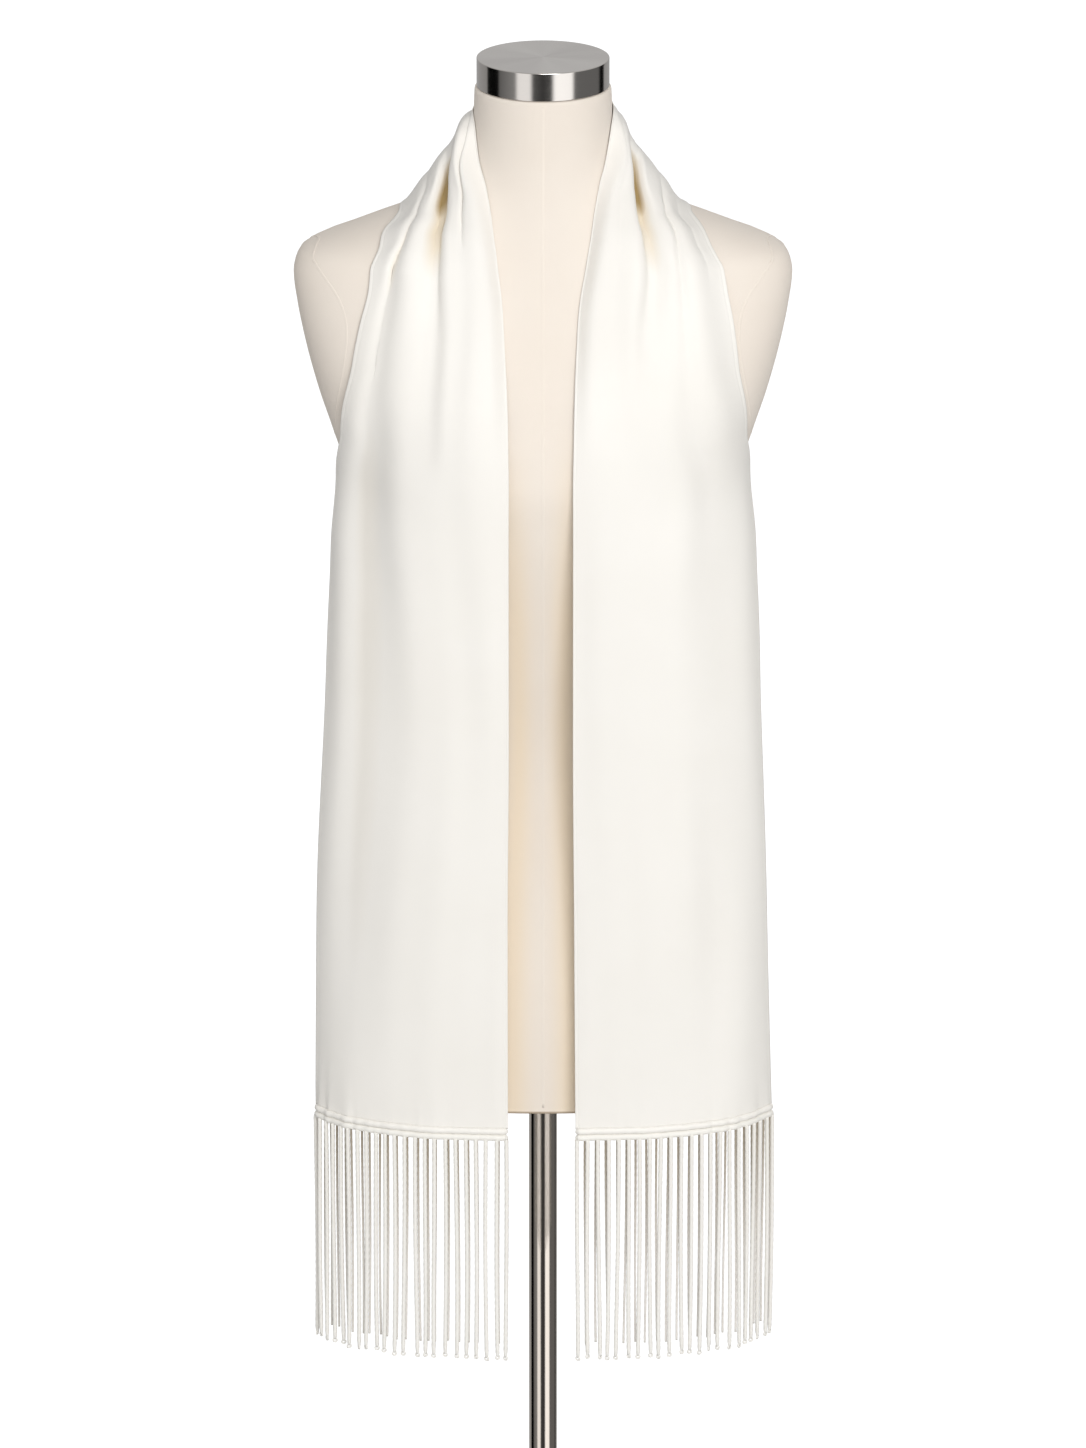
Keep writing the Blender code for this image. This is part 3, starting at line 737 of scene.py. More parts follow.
fringe = {
    "length": 0.185,
    "rootDrop": 0.0085,
    "linePoints": 120,
    "Front": {"count": 22, "radius": 0.00165, "out": 0.0014, "along": 0.0, "jitter": 0.0004},
    "Rear": {"count": 21, "radius": 0.00090, "out": -0.0016, "along": 0.0008, "jitter": 0.0012},
    "rearShorter": 0.013,
    "sides": 10,
    "lobe": 0.06,
    "twistPitch": 0.0120,
    "stepsPerTurn": 9,
    "neck": 0.0011,
    "taper": 0.006,
    "loopRadius": 0.00138,
    "loopThread": 0.00080,
    "loopSteps": 14,
    "threadSides": 8,
    "turn": 0.9,
    "lean": 0.006,
    "shorter": 0.012,
    "sway": 0.0012,
}


def twistedCord(name, length, radius, neck):
    # Two plies show as a shallow two-lobed section that turns down the cord; it narrows to its neck
    count = math.ceil(length / fringe["twistPitch"] * fringe["stepsPerTurn"])
    depth = np.linspace(0.0, length, count)[:, None]
    turn = onceRound(fringe["sides"])
    lobes = 1.0 + fringe["lobe"] * np.cos(2.0 * (turn[:-1] - 2 * math.pi * depth / fringe["twistPitch"]))
    narrowed = np.clip(1.0 - (length - depth) / fringe["taper"], 0.0, 1.0) ** 2
    reach = (radius + (neck - radius) * narrowed) * lobes
    points = stacked(reach * np.cos(turn[:-1]), reach * np.sin(turn[:-1]), -depth)
    return closedSkin(name, points, stacked(turn * radius, depth))


def loopedCord():
    radius, thread = fringe["loopRadius"], fringe["loopThread"]
    middle = fringe["length"] - radius - thread
    cord = twistedCord("cord", middle - radius + 0.0002, fringe["Front"]["radius"], fringe["neck"])
    turn = onceRound(fringe["loopSteps"])
    ring = stacked(radius * np.sin(turn), 0.0, radius * np.cos(turn) - middle)
    loop = tubePiece("loop", ring, np.array((0.0, 1.0, 0.0)), thread, fringe["threadSides"])
    return joinPieces("loopedCord", [cord, loop])


def cutCord():
    radius = fringe["Rear"]["radius"]
    return twistedCord("cutCord", fringe["length"] - fringe["rearShorter"], radius, radius)


def makeRowTree():
    # Geometry Nodes: copies of one object along a line, each turned, leaned and moved a little its own way
    tree, given, result = newGroup(
        "rowAlongLine",
        "GeometryNodeTree",
        {
            "Line": ("NodeSocketGeometry", None),
            "Piece": ("NodeSocketObject", None),
            "Count": ("NodeSocketInt", 10),
            **{
                name: (floatSocket, 0.0)
                for name in ("Jitter", "Turn", "Lean", "Shorter", "Sway", "Root Height")
            },
            "Length": (floatSocket, 1.0),
            "Seed": ("NodeSocketInt", 0),
            "Finish": ("NodeSocketMaterial", None),
        },
        {"Row": "NodeSocketGeometry"},
    )

    def chance(low, high, draw):
        inputs = {"Min": low, "Max": high, "Seed": calc(tree, "ADD", given["Seed"], float(draw))}
        return put(tree, "FunctionNodeRandomValue", inputs, data_type="FLOAT").outputs[1]

    def bothWays(name, draw):
        return chance(calc(tree, "MULTIPLY", given[name], -1.0), given[name], draw)

    def shape(kind, inputs, **settings):
        return put(tree, "GeometryNode" + kind, inputs, **settings).outputs[0]

    line = shape("MeshToCurve", {"Mesh": given["Line"]})
    spaced = shape("ResampleCurve", {"Curve": line, "Count": given["Count"]}, mode="COUNT")
    tangent = shape("InputTangent", {})
    slide = {0: tangent, "Scale": bothWays("Jitter", 1)}
    nudge = put(tree, "ShaderNodeVectorMath", slide, operation="SCALE").outputs[0]
    roots = shape("SetPosition", {"Geometry": spaced, "Offset": nudge})
    facing = put(tree, "FunctionNodeAlignRotationToVector", {"Vector": tangent}, axis="X", pivot_axis="Z")
    tilt = joinXyz(tree, bothWays("Lean", 2), bothWays("Lean", 3), bothWays("Turn", 4))
    turned = put(
        tree,
        "FunctionNodeRotateRotation",
        {"Rotation": facing.outputs[0], "Rotate By": tilt},
        rotation_space="LOCAL",
    )
    size = joinXyz(tree, 1.0, 1.0, calc(tree, "SUBTRACT", 1.0, chance(0.0, given["Shorter"], 5)))
    source = put(tree, "GeometryNodeObjectInfo", {"Object": given["Piece"], "As Instance": True})
    copies = shape(
        "InstanceOnPoints",
        {
            "Points": roots,
            "Instance": source.outputs["Geometry"],
            "Rotation": turned.outputs[0],
            "Scale": size,
        },
    )
    marked = shape(
        "StoreNamedAttribute",
        {"Geometry": copies, "Name": "strand", "Value": chance(0.0, 1.0, 6)},
        data_type="FLOAT",
        domain="INSTANCE",
    )
    real = shape("RealizeInstances", {"Geometry": marked})
    strand = shape("InputNamedAttribute", {"Name": "strand"}, data_type="FLOAT")
    phase = calc(tree, "MULTIPLY", strand, 2 * math.pi)
    height = splitXyz(tree, shape("InputPosition", {}))["Z"]
    depth = calc(tree, "DIVIDE", calc(tree, "SUBTRACT", given["Root Height"], height), given["Length"])
    reach = calc(tree, "MULTIPLY", calc(tree, "MAXIMUM", depth, 0.0), given["Sway"])
    swing = calc(tree, "SINE", calc(tree, "ADD", phase, calc(tree, "MULTIPLY", depth, 2.6)))
    offset = joinXyz(tree, calc(tree, "MULTIPLY", reach, swing))
    swayed = shape("SetPosition", {"Geometry": real, "Offset": offset})
    finish = shape("SetMaterial", {"Geometry": swayed, "Material": given["Finish"]})
    tree.links.new(finish, result["Row"])
    return tree


rowTree = makeRowTree()


def rowPiece(name, line, inputs):
    # Runs the row tree on a line of points and keeps its result as a plain mesh
    mesh = bpy.data.meshes.new(name + "Line")
    mesh.from_pydata(line.tolist(), [(k, k + 1) for k in range(len(line) - 1)], [])
    carrier = linkPiece(name + "Line", mesh)
    modifier = carrier.modifiers.new("row", "NODES")
    modifier.node_group = rowTree
    identifiers = {item.name: item.identifier for item in rowTree.interface.items_tree}
    for label, value in inputs.items():
        modifier[identifiers[label]] = value
    evaluated = carrier.evaluated_get(bpy.context.evaluated_depsgraph_get())
    result = bpy.data.meshes.new_from_object(evaluated)
    result.name = name
    bpy.data.objects.remove(carrier)
    return linkPiece(name, result)


# Dress form: a padded torso in a stretched woven cover
# The rounds give height or drop from the end, and inset. Seam section is across the seam and out from the
# cover. Angles are in degrees.

form = {
    "columns": 192,
    "rowPitch": 0.0045,
    "bottomRound": (
        (-0.0013, 0.0014), (-0.0012, 0.0005), (-0.0006, 0.0), (0.0010, -0.0002), (0.0018, 0.0), (0.0026, 0.0)
    ),
    "topRound": ((0.0024, 0.0), (0.0009, 0.0003), (0.0002, 0.0009), (0.0, 0.0020)),
    "rings": ringTable(
        (0.000, 0.1560, 0.1040, 0.1120, 2.30),
        (0.070, 0.1610, 0.1060, 0.1180, 2.30),
        (0.170, 0.1520, 0.1000, 0.1060, 2.30),
        (0.300, 0.1210, 0.0860, 0.0850, 2.20),
        (0.400, 0.1340, 0.0970, 0.0900, 2.20),
        (0.470, 0.1470, 0.1090, 0.0960, 2.30),
        (0.509, 0.1560, 0.1145, 0.1000, 2.35),
        (0.531, 0.1630, 0.1135, 0.1010, 2.40),
        (0.563, 0.1735, 0.1085, 0.1010, 2.40),
        (0.595, 0.1820, 0.0990, 0.0990, 2.40),
        (0.627, 0.1885, 0.0875, 0.0940, 2.35),
        (0.652, 0.1915, 0.0780, 0.0880, 2.30),
        (0.667, 0.1875, 0.0730, 0.0845, 2.30),
        (0.675, 0.1765, 0.0700, 0.0820, 2.25),
        (0.683, 0.1550, 0.0670, 0.0795, 2.20),
        (0.691, 0.1340, 0.0645, 0.0765, 2.15),
        (0.699, 0.1115, 0.0615, 0.0735, 2.10),
        (0.709, 0.0880, 0.0585, 0.0690, 2.00),
        (0.722, 0.0710, 0.0555, 0.0635, 2.00),
        (0.738, 0.0600, 0.0535, 0.0580, 2.00),
        (0.758, 0.0540, 0.0525, 0.0540, 2.00),
        (0.796, 0.0523, 0.0523, 0.0523, 2.00),
    ),
    "meanRadius": 0.13,
    "seamSection": (
        (-0.0013, -0.0003), (-0.0008, 0.00010), (-0.0004, 0.00014), (0.0, 0.00002),
        (0.0004, 0.00014), (0.0008, 0.00010), (0.0013, -0.0003),
    ),
    "seamFrom": 0.004,
    "seamBelowTop": 0.003,
    "seamPoints": 200,
    "flankPoints": 120,
    "princess": ((0.0, 145.0), (0.30, 148.0), (0.52, 146.0), (0.660, 128.0)),
    # Painted warm shade beside the scarf: its strength on each side, its spread in degrees and its fade with
    # height
    "paintedShadeLeft": 0.8,
    "paintedShadeRight": 0.9,
    "paintedShadeSpread": 6.5,
    "paintedShadeHeights": ((0.400, 1.0), (0.480, 0.6), (0.560, 0.0)),
    "armholeHeight": 0.600,
    "armholeHalfHeight": 0.077,
    "armholeHalfDepth": 0.064,
}


def besideScarf(angle, height):
    # How near each point of the cover lies to the scarf's inner edges, where painted warm shade darkens it
    near = np.zeros_like(angle)
    for side, strength in (("left", form["paintedShadeLeft"]), ("right", form["paintedShadeRight"])):
        stations = scarf[side + "Stations"]
        heights, angles = (stations[name][:1:-1] for name in ("innerHeight", "innerAngle"))
        turned = angle if side == "left" else 360.0 - angle
        gap = (smooth(heights, angles, height) - turned) / form["paintedShadeSpread"]
        near += strength * bell(gap) * (turned < 180.0)
    return np.minimum(near, 1.0) * smooth(*zip(*form["paintedShadeHeights"]), height)


def makeFormCover():
    low, high = form["bottomRound"][-1][0], torsoHeight - form["topRound"][0][0]
    body = np.linspace(low, high, math.ceil((high - low) / form["rowPitch"]))[1:-1]
    rows = list(form["bottomRound"]) + [(height, 0.0) for height in body]
    rows += [(torsoHeight - drop, inset) for drop, inset in form["topRound"]]
    height, inset = np.array(rows).T
    share = np.linspace(0.0, 1.0, form["columns"] + 1)
    angles, heights = np.meshgrid(360.0 * share[:-1], height)
    points = ringPoint(form["rings"], angles, heights)
    level = ringNormal(form["rings"], angles, heights) * (1.0, 1.0, 0.0)
    points = points - unit(level) * inset[:, None, None]
    uv = stacked(2 * math.pi * form["meanRadius"] * share, height[:, None])
    # The mark carries the painted shade beside the scarf
    return closedSkin("formCover", points, uv, marks={"besideShade": besideScarf(angles, heights)})


def seamPiece(angle, height, closed):
    # Two low lips and the groove between them, along a path on the cover
    points = ringPoint(form["rings"], angle, height)
    normal = ringNormal(form["rings"], angle, height)
    if closed:
        tangent = np.roll(points, -1, axis=0) - np.roll(points, 1, axis=0)
    else:
        tangent = np.gradient(points, axis=0)
    across = unit(np.cross(unit(tangent), normal))
    section = np.array(form["seamSection"])
    rings = points[:, None] + across[:, None] * section[:, :1] + normal[:, None] * section[:, 1:]
    if closed:
        rings = np.concatenate((rings, rings[:1]))
    return faceOutwards(gridPiece("seam", rings, ring=True, closeEnds=not closed))


def armholeSeam(side):
    # An oval round the shoulder's end: the angle at which the torso reaches each of its depths
    turn = onceRound(form["flankPoints"])[:-1]
    height = form["armholeHeight"] + form["armholeHalfHeight"] * np.cos(turn)
    depth = form["armholeHalfDepth"] * np.sin(turn)
    low, high = np.zeros_like(turn), np.full_like(turn, 180.0)
    for _ in range(40):  # each step halves the span
        angle = (low + high) / 2
        before = ringPoint(form["rings"], angle, height)[:, 1] < -depth
        low, high = np.where(before, angle, low), np.where(before, high, angle)
    return seamPiece(side * angle, height, closed=True)


def makeFormSeams():
    full = np.linspace(form["seamFrom"], torsoHeight - form["seamBelowTop"], form["seamPoints"])
    seams = [seamPiece(np.full_like(full, angle), full, closed=False) for angle in (0.0, 180.0)]
    armholeBottom = form["armholeHeight"] - form["armholeHalfHeight"]
    flank = np.linspace(form["seamFrom"], armholeBottom, form["flankPoints"])
    heights, angles = zip(*form["princess"])
    back = full[full < heights[-1]]
    for side in (-1.0, 1.0):
        seams.append(armholeSeam(side))
        seams.append(seamPiece(np.full_like(flank, side * 90.0), flank, closed=False))
        seams.append(seamPiece(side * smooth(heights, angles, back), back, closed=False))
    return joinPieces("formSeams", seams)


# Steel: neck cap, pole and base plate

steelSides = 160
neckCap = {
    "node": "neck_cap",
    "radius": 0.0508,
    "edge": 0.0007,
    "tone": (0.620, 0.590, 0.560, 1.0),
    "paintedFanTone": (0.530, 0.500, 0.475, 1.0),
    "roughness": 0.13,
    "stretch": (3.0, 900.0, 900.0),
}
pole = {
    "node": "pole",
    "radius": 0.0111,
    "edge": 0.0004,
    "tone": (0.600, 0.545, 0.490, 1.0),
    "paintedFanTone": (0.600, 0.545, 0.490, 1.0),
    "roughness": 0.10,
    "stretch": (60.0, 60.0, 4.0),
}
basePlate = {
    "node": "base_plate",
    "radius": 0.175,
    "edge": 0.0018,
    "tone": (0.600, 0.580, 0.560, 1.0),
    "paintedFanTone": (0.550, 0.530, 0.510, 1.0),
    "roughness": 0.30,
    "stretch": (3.0, 900.0, 900.0),
}


def makeSteelPiece(name, facts):
    # A disc or rod with rounded edges, between the ends of its solid
    bottom, top = (corner.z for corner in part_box(facts["node"]))
    radius, edge, middle = facts["radius"], facts["edge"], 0.0005
    profile = [(middle, top), (radius - 3 * edge, top)]
    profile += roundCorner(radius, top, edge, 6, True)
    profile += [(radius, top - 2 * edge), (radius, bottom + 2 * edge)]
    profile += roundCorner(radius, bottom, edge, 6, False)
    profile += [(radius - 3 * edge, bottom), (middle, bottom)]
    return turnedPiece(name, profile, steelSides)


# Shared shader groups

def makeWeaveGroup():
    # Threads that pass over several others before they dip under one; Float 1 is a plain weave
    tree, given, result = newGroup(
        "threadWeave",
        "ShaderNodeTree",
        {"Vector": (vectorSocket, None), "Threads": (floatSocket, 2000.0), "Float": (floatSocket, 1.0)},
        {"Height": floatSocket},
    )
    spread = {0: given["Vector"], "Scale": given["Threads"]}
    x, y, _ = splitXyz(tree, put(tree, "ShaderNodeVectorMath", spread, operation="SCALE").outputs[0])
    thread = calc(tree, "ABSOLUTE", calc(tree, "SINE", calc(tree, "MULTIPLY", x, math.pi)))
    step = calc(tree, "MULTIPLY", calc(tree, "FLOOR", x), 0.4 * 2 * math.pi)
    run = calc(tree, "DIVIDE", calc(tree, "MULTIPLY", y, math.pi), given["Float"])
    dips = calc(tree, "SINE", calc(tree, "ADD", run, step))
    height = calc(tree, "MULTIPLY", thread, calc(tree, "MULTIPLY_ADD", dips, 0.25, 0.75))
    tree.links.new(height, result["Height"])
    return tree


def makeMottleGroup():
    # Slow uneven shade between two colours
    tree, given, result = newGroup(
        "softMottle",
        "ShaderNodeTree",
        {
            "Vector": (vectorSocket, None),
            "Scale": (floatSocket, 20.0),
            "Light": (colourSocket, None),
            "Dark": (colourSocket, None),
        },
        {"Color": colourSocket, "Value": floatSocket},
    )
    inputs = {"Vector": given["Vector"], "Scale": given["Scale"], "Detail": 4.0}
    shade = ranged(tree, put(tree, "ShaderNodeTexNoise", inputs).outputs[0], 0.35, 0.65)
    tree.links.new(mixColour(tree, shade, given["Light"], given["Dark"]), result["Color"])
    tree.links.new(shade, result["Value"])
    return tree


def makeFibreGroup():
    # Fine fibres that run slantwise round a cord
    tree, given, result = newGroup(
        "twistedFibre",
        "ShaderNodeTree",
        {"Vector": (vectorSocket, None), "Round": (floatSocket, 9000.0), "Along": (floatSocket, 5200.0)},
        {"Height": floatSocket},
    )
    x, y, _ = splitXyz(tree, given["Vector"])
    along = calc(tree, "MULTIPLY", y, given["Along"])
    fibre = calc(tree, "SINE", calc(tree, "MULTIPLY_ADD", x, given["Round"], along))
    tree.links.new(fibre, result["Height"])
    return tree


def makeLevelGroup():
    # A mask that goes from none at one height to full at another
    tree, given, result = newGroup(
        "byHeight",
        "ShaderNodeTree",
        {"Vector": (vectorSocket, None), "None At": (floatSocket, 0.0), "Full At": (floatSocket, 1.0)},
        {"Mask": floatSocket},
    )
    height = splitXyz(tree, given["Vector"])["Z"]
    tree.links.new(ranged(tree, height, given["None At"], given["Full At"]), result["Mask"])
    return tree


def makeBrushedGroup():
    # Brushed steel round the upright axis. Stretch sets how the lines run round it, out from it and up it.
    # Painted highlights: the colour changes softly in fans that spread from the middle.
    tree, given, result = newGroup(
        "brushedRound",
        "ShaderNodeTree",
        {
            "Vector": (vectorSocket, None),
            "Stretch": (vectorSocket, (1.0, 1.0, 1.0)),
            "Tone": (colourSocket, None),
            "Painted Fan Tone": (colourSocket, None),
        },
        {"Color": colourSocket, "Grain": floatSocket},
    )
    x, y, z = splitXyz(tree, given["Vector"])
    angle = calc(tree, "ARCTAN2", y, x)
    radius = put(tree, "ShaderNodeVectorMath", {0: given["Vector"]}, operation="LENGTH").outputs["Value"]
    lines = {0: joinXyz(tree, angle, radius, z), 1: given["Stretch"]}
    stretched = put(tree, "ShaderNodeVectorMath", lines, operation="MULTIPLY").outputs[0]
    grain = put(tree, "ShaderNodeTexNoise", {"Vector": stretched, "Scale": 1.0, "Detail": 6.0}).outputs[0]
    # painted highlight fans round the middle
    wide = calc(tree, "SINE", calc(tree, "MULTIPLY_ADD", angle, 2.0, 0.6))
    narrow = calc(tree, "SINE", calc(tree, "MULTIPLY_ADD", angle, 7.0, 2.0))
    paintedFans = calc(tree, "MULTIPLY_ADD", narrow, 0.16, calc(tree, "MULTIPLY_ADD", wide, 0.34, 0.5))
    tree.links.new(mixColour(tree, paintedFans, given["Tone"], given["Painted Fan Tone"]), result["Color"])
    tree.links.new(grain, result["Grain"])
    return tree


weaveGroup = makeWeaveGroup()
mottleGroup = makeMottleGroup()
fibreGroup = makeFibreGroup()
levelGroup = makeLevelGroup()
brushedGroup = makeBrushedGroup()


# Materials

satinLook = {
    "light": (0.913, 0.886, 0.836, 1.0),
    "dark": (0.893, 0.864, 0.810, 1.0),
    "mottle": 9.0,
    # painted crease shade: the warm colour of the folds' troughs
    "paintedCreaseShade": (0.800, 0.690, 0.520, 1.0),
    # painted hollow shade: dark brown where the folds close
    "hollowShade": (0.390, 0.270, 0.105, 1.0),
    "threads": 2600.0,
    "float": 5.0,
    "relief": 0.00004,
}
cordLook = {
    "light": (0.925, 0.905, 0.860, 1.0),
    "dark": (0.905, 0.880, 0.830, 1.0),
    # painted shade close under the hem
    "root": (0.900, 0.875, 0.820, 1.0),
    "mottle": 60.0,
    "hemShadeFrom": 0.58,
    "hemShadeFull": 0.675,
    "round": 9000.0,
    "along": 5200.0,
    "relief": 0.00003,
}
# The rear cords are a shaded copy of the front ones: painted shade, darker all over and darker still under
# the hem
shadedRearCordLook = {
    "light": (0.83, 0.80, 0.76, 1.0),
    "dark": (0.78, 0.75, 0.70, 1.0),
    "root": (0.43, 0.37, 0.29, 1.0),
}
coverLook = {
    "light": (0.870, 0.792, 0.705, 1.0),
    "dark": (0.855, 0.772, 0.682, 1.0),
    "mottle": 14.0,
    # painted warm shade beside the scarf
    "paintedWarmShade": (0.910, 0.765, 0.580, 1.0),
    "under": (0.48, 0.38, 0.28, 1.0),
    "underFrom": 0.0012,
    "threads": 1500.0,
    "float": 1.0,
    "relief": 0.00006,
}
threadLook = {"light": (0.90, 0.87, 0.81, 1.0), "dark": (0.84, 0.80, 0.73, 1.0), "mottle": 400.0}


def mottledMaterial(name, look, constants):
    # A material with its coordinates and the soft mottle of its two colours
    material, tree, shader = newMaterial(name, constants)
    place = put(tree, "ShaderNodeTexCoord").outputs
    colours = {"Light": look["light"], "Dark": look["dark"]}
    base = fillGroup(tree, mottleGroup, {"Vector": place["Object"], "Scale": look["mottle"], **colours})
    return material, tree, shader, place, base


def addWeave(tree, shader, place, look):
    inputs = {"Vector": place["UV"], "Threads": look["threads"], "Float": look["float"]}
    bump(tree, shader, fillGroup(tree, weaveGroup, inputs)["Height"], look["relief"])


def attributeValue(tree, name):
    return put(tree, "ShaderNodeAttribute", attribute_name=name).outputs["Fac"]


def makeSatin():
    material, tree, shader, place, base = mottledMaterial(
        "ivorySatin", satinLook, {"Sheen Weight": 0.12, "Sheen Roughness": 0.4, "IOR": 1.42}
    )
    # Painted crease shade: the troughs of the folds are tinted warm
    paintedCreaseShade = ranged(tree, attributeValue(tree, "creaseShade"), 0.30, 1.0, 0.85)
    creaseShadedColour = mixColour(tree, paintedCreaseShade, base["Color"], satinLook["paintedCreaseShade"])
    # Painted shade: dark brown where the deep folds close
    closed = ranged(tree, attributeValue(tree, "hollowShade"), 0.40, 0.85, 0.95)
    tree.links.new(mixColour(tree, closed, creaseShadedColour, satinLook["hollowShade"]), shader.inputs["Base Color"])
    tree.links.new(calc(tree, "MULTIPLY_ADD", base["Value"], 0.06, 0.44), shader.inputs["Roughness"])
    addWeave(tree, shader, place, satinLook)
    return material


def makeCordMaterial(name, look):
    # Painted shade: cords are a little darker close under the hem
    constants = {"Roughness": 0.5, "Sheen Weight": 0.15}
    material, tree, shader, place, base = mottledMaterial(name, look, constants)
    levels = {"Vector": place["Object"], "None At": look["hemShadeFrom"], "Full At": look["hemShadeFull"]}
    hemShadeMask = fillGroup(tree, levelGroup, levels)["Mask"]
    tree.links.new(mixColour(tree, hemShadeMask, base["Color"], look["root"]), shader.inputs["Base Color"])
    fibres = {"Vector": place["UV"], "Round": look["round"], "Along": look["along"]}
    bump(tree, shader, fillGroup(tree, fibreGroup, fibres)["Height"], look["relief"])
    return material


def makeCoverMaterial():
    # Painted warm shade on the cover beside the scarf, and brown under its lower edge
    constants = {"Roughness": 0.85, "Sheen Weight": 0.1}
    material, tree, shader, place, base = mottledMaterial("formCoverCloth", coverLook, constants)
    paintedWarmShade = mixColour(tree, attributeValue(tree, "besideShade"), base["Color"], coverLook["paintedWarmShade"])
    edgeTop = torsoBottom + coverLook["underFrom"]
    levels = {"Vector": place["Object"], "None At": edgeTop, "Full At": torsoBottom}
    underMask = fillGroup(tree, levelGroup, levels)["Mask"]
    tree.links.new(mixColour(tree, underMask, paintedWarmShade, coverLook["under"]), shader.inputs["Base Color"])
    addWeave(tree, shader, place, coverLook)
    return material


def makeSteelMaterial(name, facts):
    material, tree, shader = newMaterial(name, {"Metallic": 1.0})
    place = put(tree, "ShaderNodeTexCoord").outputs["Object"]
    tones = {"Tone": facts["tone"], "Painted Fan Tone": facts["paintedFanTone"]}
    brushed = fillGroup(tree, brushedGroup, {"Vector": place, "Stretch": facts["stretch"], **tones})
    tree.links.new(brushed["Color"], shader.inputs["Base Color"])
    rough = calc(tree, "MULTIPLY_ADD", brushed["Grain"], 0.12, facts["roughness"] - 0.06)
    tree.links.new(rough, shader.inputs["Roughness"])
    bump(tree, shader, brushed["Grain"], 0.00001)
    return material


def makeThreadMaterial():
    material, tree, shader, _, base = mottledMaterial("hemThread", threadLook, {"Roughness": 0.55})
    tree.links.new(base["Color"], shader.inputs["Base Color"])
    return material


satin = makeSatin()
cordFinish = {
    "Front": makeCordMaterial("fringeCord", cordLook),
    # The rear row's finish is the front's with painted shade
    "Rear": makeCordMaterial("fringeCordRearShaded", {**cordLook, **shadedRearCordLook}),
}
coverCloth = makeCoverMaterial()
thread = makeThreadMaterial()
print("materials made")


# Build

cover = dress(makeFormCover(), coverCloth, "form_cover", "form_body")
dress(makeFormSeams(), coverCloth, "form_cover")
print("dress form made")

for name, finish, facts in (
    ("neckCapSteel", "capSteel", neckCap),
    ("poleSteel", "poleSteel", pole),
    ("basePlateSteel", "baseSteel", basePlate),
):
    dress(makeSteelPiece(name, facts), makeSteelMaterial(finish, facts), "brushed_steel", facts["node"])
print("steel made")

cloth = dress(makeScarf(), satin, "ivory_satin", "cloth_fall_left", "cloth_neck", "cloth_fall_right")
print("scarf made")


def makeStitch():
    # A short arched stitch lying across a hem
    share = np.linspace(-1.0, 1.0, 7)
    length = hem["stitchLength"]
    path = stacked(0.25 * share * length, -hem["stitchArch"] * (1.0 - share ** 2), -0.5 * share * length)
    return tubePiece("stitch", path, np.array((1.0, 0.0, 0.0)), hem["stitchThread"], 6)


def makeStitches(word, side, path, outward):
    # The stitches of a hem, on its face near its upper edge; they run the same way on both ends
    stitch = makeStitch()
    seamLine = (path + outward * hem["stitchOut"] + (0.0, 0.0, hem["stitchUp"]))[4:-4]
    stitches = rowPiece(
        "hemStitches" + word,
        seamLine if side < 0 else seamLine[::-1],
        {
            "Piece": stitch,
            "Count": round(lengthAlong(path)[-1] / hem["stitchPitch"]),
            "Turn": hem["stitchTurn"],
            "Seed": hem["stitchSeed"],
            "Finish": thread,
        },
    )
    bpy.data.objects.remove(stitch)
    return dress(stitches, thread, "ivory_satin")


def makeCords(word, side, seed, row, cord, *nodes):
    # One row of a fringe. Both rows have the same pitch, and the rear one has no cord at its -X end.
    facts, count, finish = fringe[row], fringe["linePoints"], cordFinish[row]
    path, outward = hemLine(side, count, fringe["rootDrop"])
    missing = round(count / fringe["Front"]["count"]) * (fringe["Front"]["count"] - facts["count"])
    first, last = (1, count - 1 - missing) if side < 0 else (1 + missing, count - 1)
    roots = (path + outward * facts["out"] + (facts["along"], 0.0, 0.0))[first:last]
    cords = rowPiece(
        "fringe" + row + word,
        roots,
        {
            "Piece": cord,
            "Count": facts["count"],
            "Jitter": facts["jitter"],
            "Turn": fringe["turn"],
            "Lean": fringe["lean"],
            "Shorter": fringe["shorter"],
            "Sway": fringe["sway"],
            "Root Height": float(roots[0, 2]),
            "Length": fringe["length"],
            "Seed": seed,
            "Finish": finish,
        },
    )
    bpy.data.objects.remove(cord)
    return dress(cords, finish, "ivory_fringe_cord", *nodes)


def makeEnd(word, side, seed):
    # One end of the scarf: hem roll with its stitches, heading, and the two rows of cords
    path, outward = hemLine(side, hem["points"], hem["drop"])
    roll = rollPiece("hemRoll" + word, path, outward, hem, hemSwell)
    dress(roll, satin, "ivory_satin", "hem_" + word.lower())
    stitches = makeStitches(word, side, path, outward)
    path, outward = hemLine(side, heading["points"], heading["drop"])
    band = rollPiece("fringeHeading" + word, path, outward, heading, headingSwell)
    dress(band, cordFinish["Front"], "ivory_fringe_cord")
    front = makeCords(word, side, seed, "Front", loopedCord(), "fringe_" + word.lower())
    rear = makeCords(word, side, seed, "Rear", cutCord())
    return [roll, stitches, band, front, rear]


ends = makeEnd("Left", -1.0, 11) + makeEnd("Right", 1.0, 31)
print("hems and fringe made")


# Studio: a pale floor, soft light and the photograph's camera
# Bands are the light and dark panels that steel mirrors: degrees round the stand, and light.

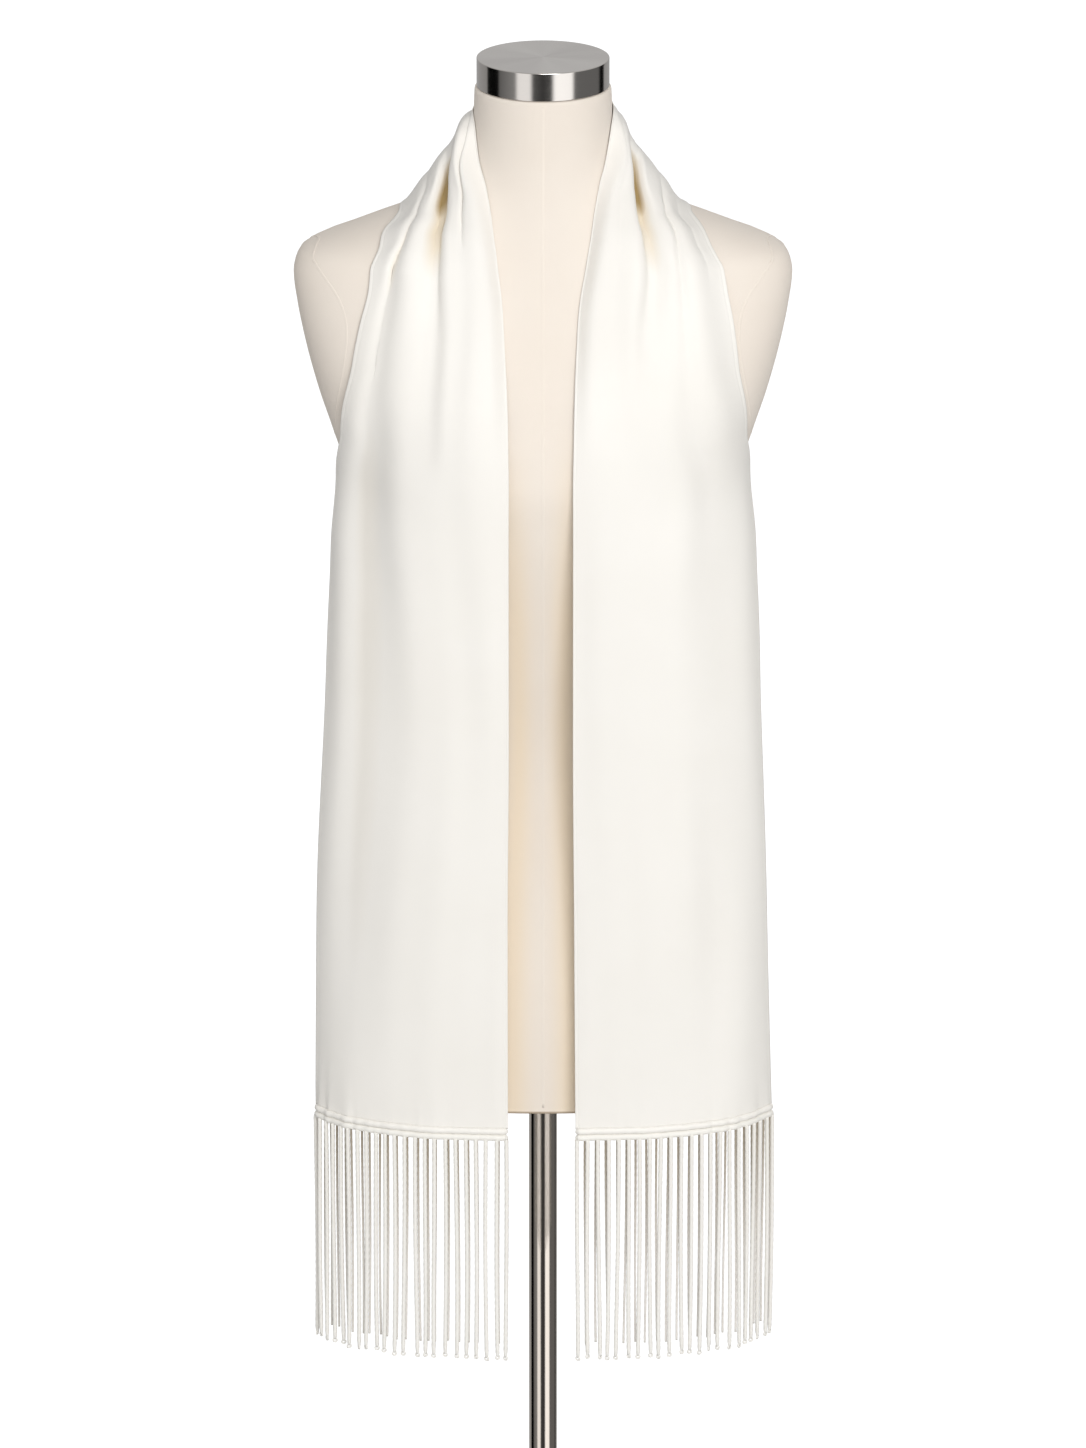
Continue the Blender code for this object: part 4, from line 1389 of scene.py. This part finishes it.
studio = {
    "floorSize": 60.0,
    "floorGrey": (0.58, 0.58, 0.58, 1.0),
    "floorDrop": 0.0003,
    "fill": 0.55,
    "floorSeen": 0.8,
    "keyPlace": (0.9, -4.7, 3.0),
    "keySize": 3.0,
    "keyPower": 157.0,
    "bandLight": 1.55,
    "above": 0.62,
    "bands": (
        (-180, 0.30), (-128, 0.28), (-114, 0.26), (-112, 0.002), (-84, 0.002), (-82, 0.11), (-50, 0.22),
        (-44, 0.85), (-23, 0.85), (-17, 0.08), (0, 0.03), (14, 0.06), (21, 1.0), (51, 1.0), (57, 0.12),
        (112, 0.11), (118, 0.002), (130, 0.002), (133, 0.27), (180, 0.30),
    ),
}
shot = {
    "target": (0.0, 0.0, 0.984),
    "distance": 8.0,
    "elevation": 18.3,
    "focalPixels": 10268,
    "tall": 1448,
    "sensor": 36.0,
}
white = (1.0, 1.0, 1.0, 1.0)
black = (0.0, 0.0, 0.0, 1.0)


def makeFloor():
    half = studio["floorSize"] / 2
    x, y = np.meshgrid(np.linspace(-half, half, 3), np.linspace(-half, half, 3))
    floor = faceOutwards(gridPiece("studioFloor", stacked(x, y, -studio["floorDrop"])))
    material, tree, shader = newMaterial(
        "studioPaper",
        {
            "Roughness": 1.0,
            "Specular IOR Level": 0.0,
            "Base Color": studio["floorGrey"],
            "Emission Strength": studio["floorSeen"],
        },
    )
    seen = put(tree, "ShaderNodeLightPath").outputs["Is Camera Ray"]
    tree.links.new(mixColour(tree, seen, black, white), shader.inputs["Emission Color"])
    floor.data.materials.append(material)
    floor.visible_glossy = False


def grey(level):
    return (level, level, level, 1.0)


def makeWorld():
    # White to the camera, soft white as light, and a studio's bright and dark panels in reflections
    world = bpy.data.worlds.new("studio")
    scene.world = world
    world.use_nodes = True
    tree = world.node_tree
    tree.nodes.clear()
    x, y, z = splitXyz(tree, put(tree, "ShaderNodeTexCoord").outputs["Generated"])
    angle = calc(tree, "ARCTAN2", x, calc(tree, "MULTIPLY", y, -1.0))
    ramp = put(tree, "ShaderNodeValToRGB", {0: calc(tree, "MULTIPLY_ADD", angle, 0.5 / math.pi, 0.5)})
    stops = ramp.color_ramp.elements
    for _ in range(len(studio["bands"]) - len(stops)):
        stops.new(0.5)
    for stop, (degrees, light) in zip(stops, studio["bands"]):
        stop.position = (degrees + 180) / 360
        stop.color = grey(light)
    ray = put(tree, "ShaderNodeLightPath").outputs
    soft = mixColour(tree, ray["Is Camera Ray"], grey(studio["fill"]), white)
    panels = mixColour(tree, 1.0, ramp.outputs[0], grey(studio["bandLight"]), blend_type="MULTIPLY")
    mirrored = mixColour(tree, ranged(tree, z, 0.05, 0.25), panels, grey(studio["above"]))
    seen = mixColour(tree, ray["Is Glossy Ray"], soft, mirrored)
    background = put(tree, "ShaderNodeBackground", {"Color": seen})
    tree.links.new(background.outputs[0], put(tree, "ShaderNodeOutputWorld").inputs[0])


def makeKey():
    light = bpy.data.lights.new("keyLight", "AREA")
    light.shape = "DISK"
    light.size = studio["keySize"]
    light.energy = studio["keyPower"]
    key = bpy.data.objects.new("keyLight", light)
    scene.collection.objects.link(key)
    key.location = studio["keyPlace"]
    aim = np.array(shot["target"]) - np.array(studio["keyPlace"])
    key.rotation_euler = (
        math.atan2(math.hypot(aim[0], aim[1]), -aim[2]), 0.0, math.atan2(aim[1], aim[0]) - math.pi / 2
    )


def makeCamera():
    data = bpy.data.cameras.new("shot")
    data.sensor_width = shot["sensor"]
    data.lens = shot["focalPixels"] / shot["tall"] * data.sensor_width
    camera = bpy.data.objects.new("shot", data)
    scene.collection.objects.link(camera)
    tilt = math.radians(shot["elevation"])
    x, y, z = shot["target"]
    camera.location = (x, y - shot["distance"] * math.cos(tilt), z + shot["distance"] * math.sin(tilt))
    camera.rotation_euler = (math.pi / 2 - tilt, 0.0, 0.0)
    scene.camera = camera


makeFloor()
makeWorld()
makeKey()
makeCamera()
scene.view_settings.view_transform = "Standard"
print("studio made")
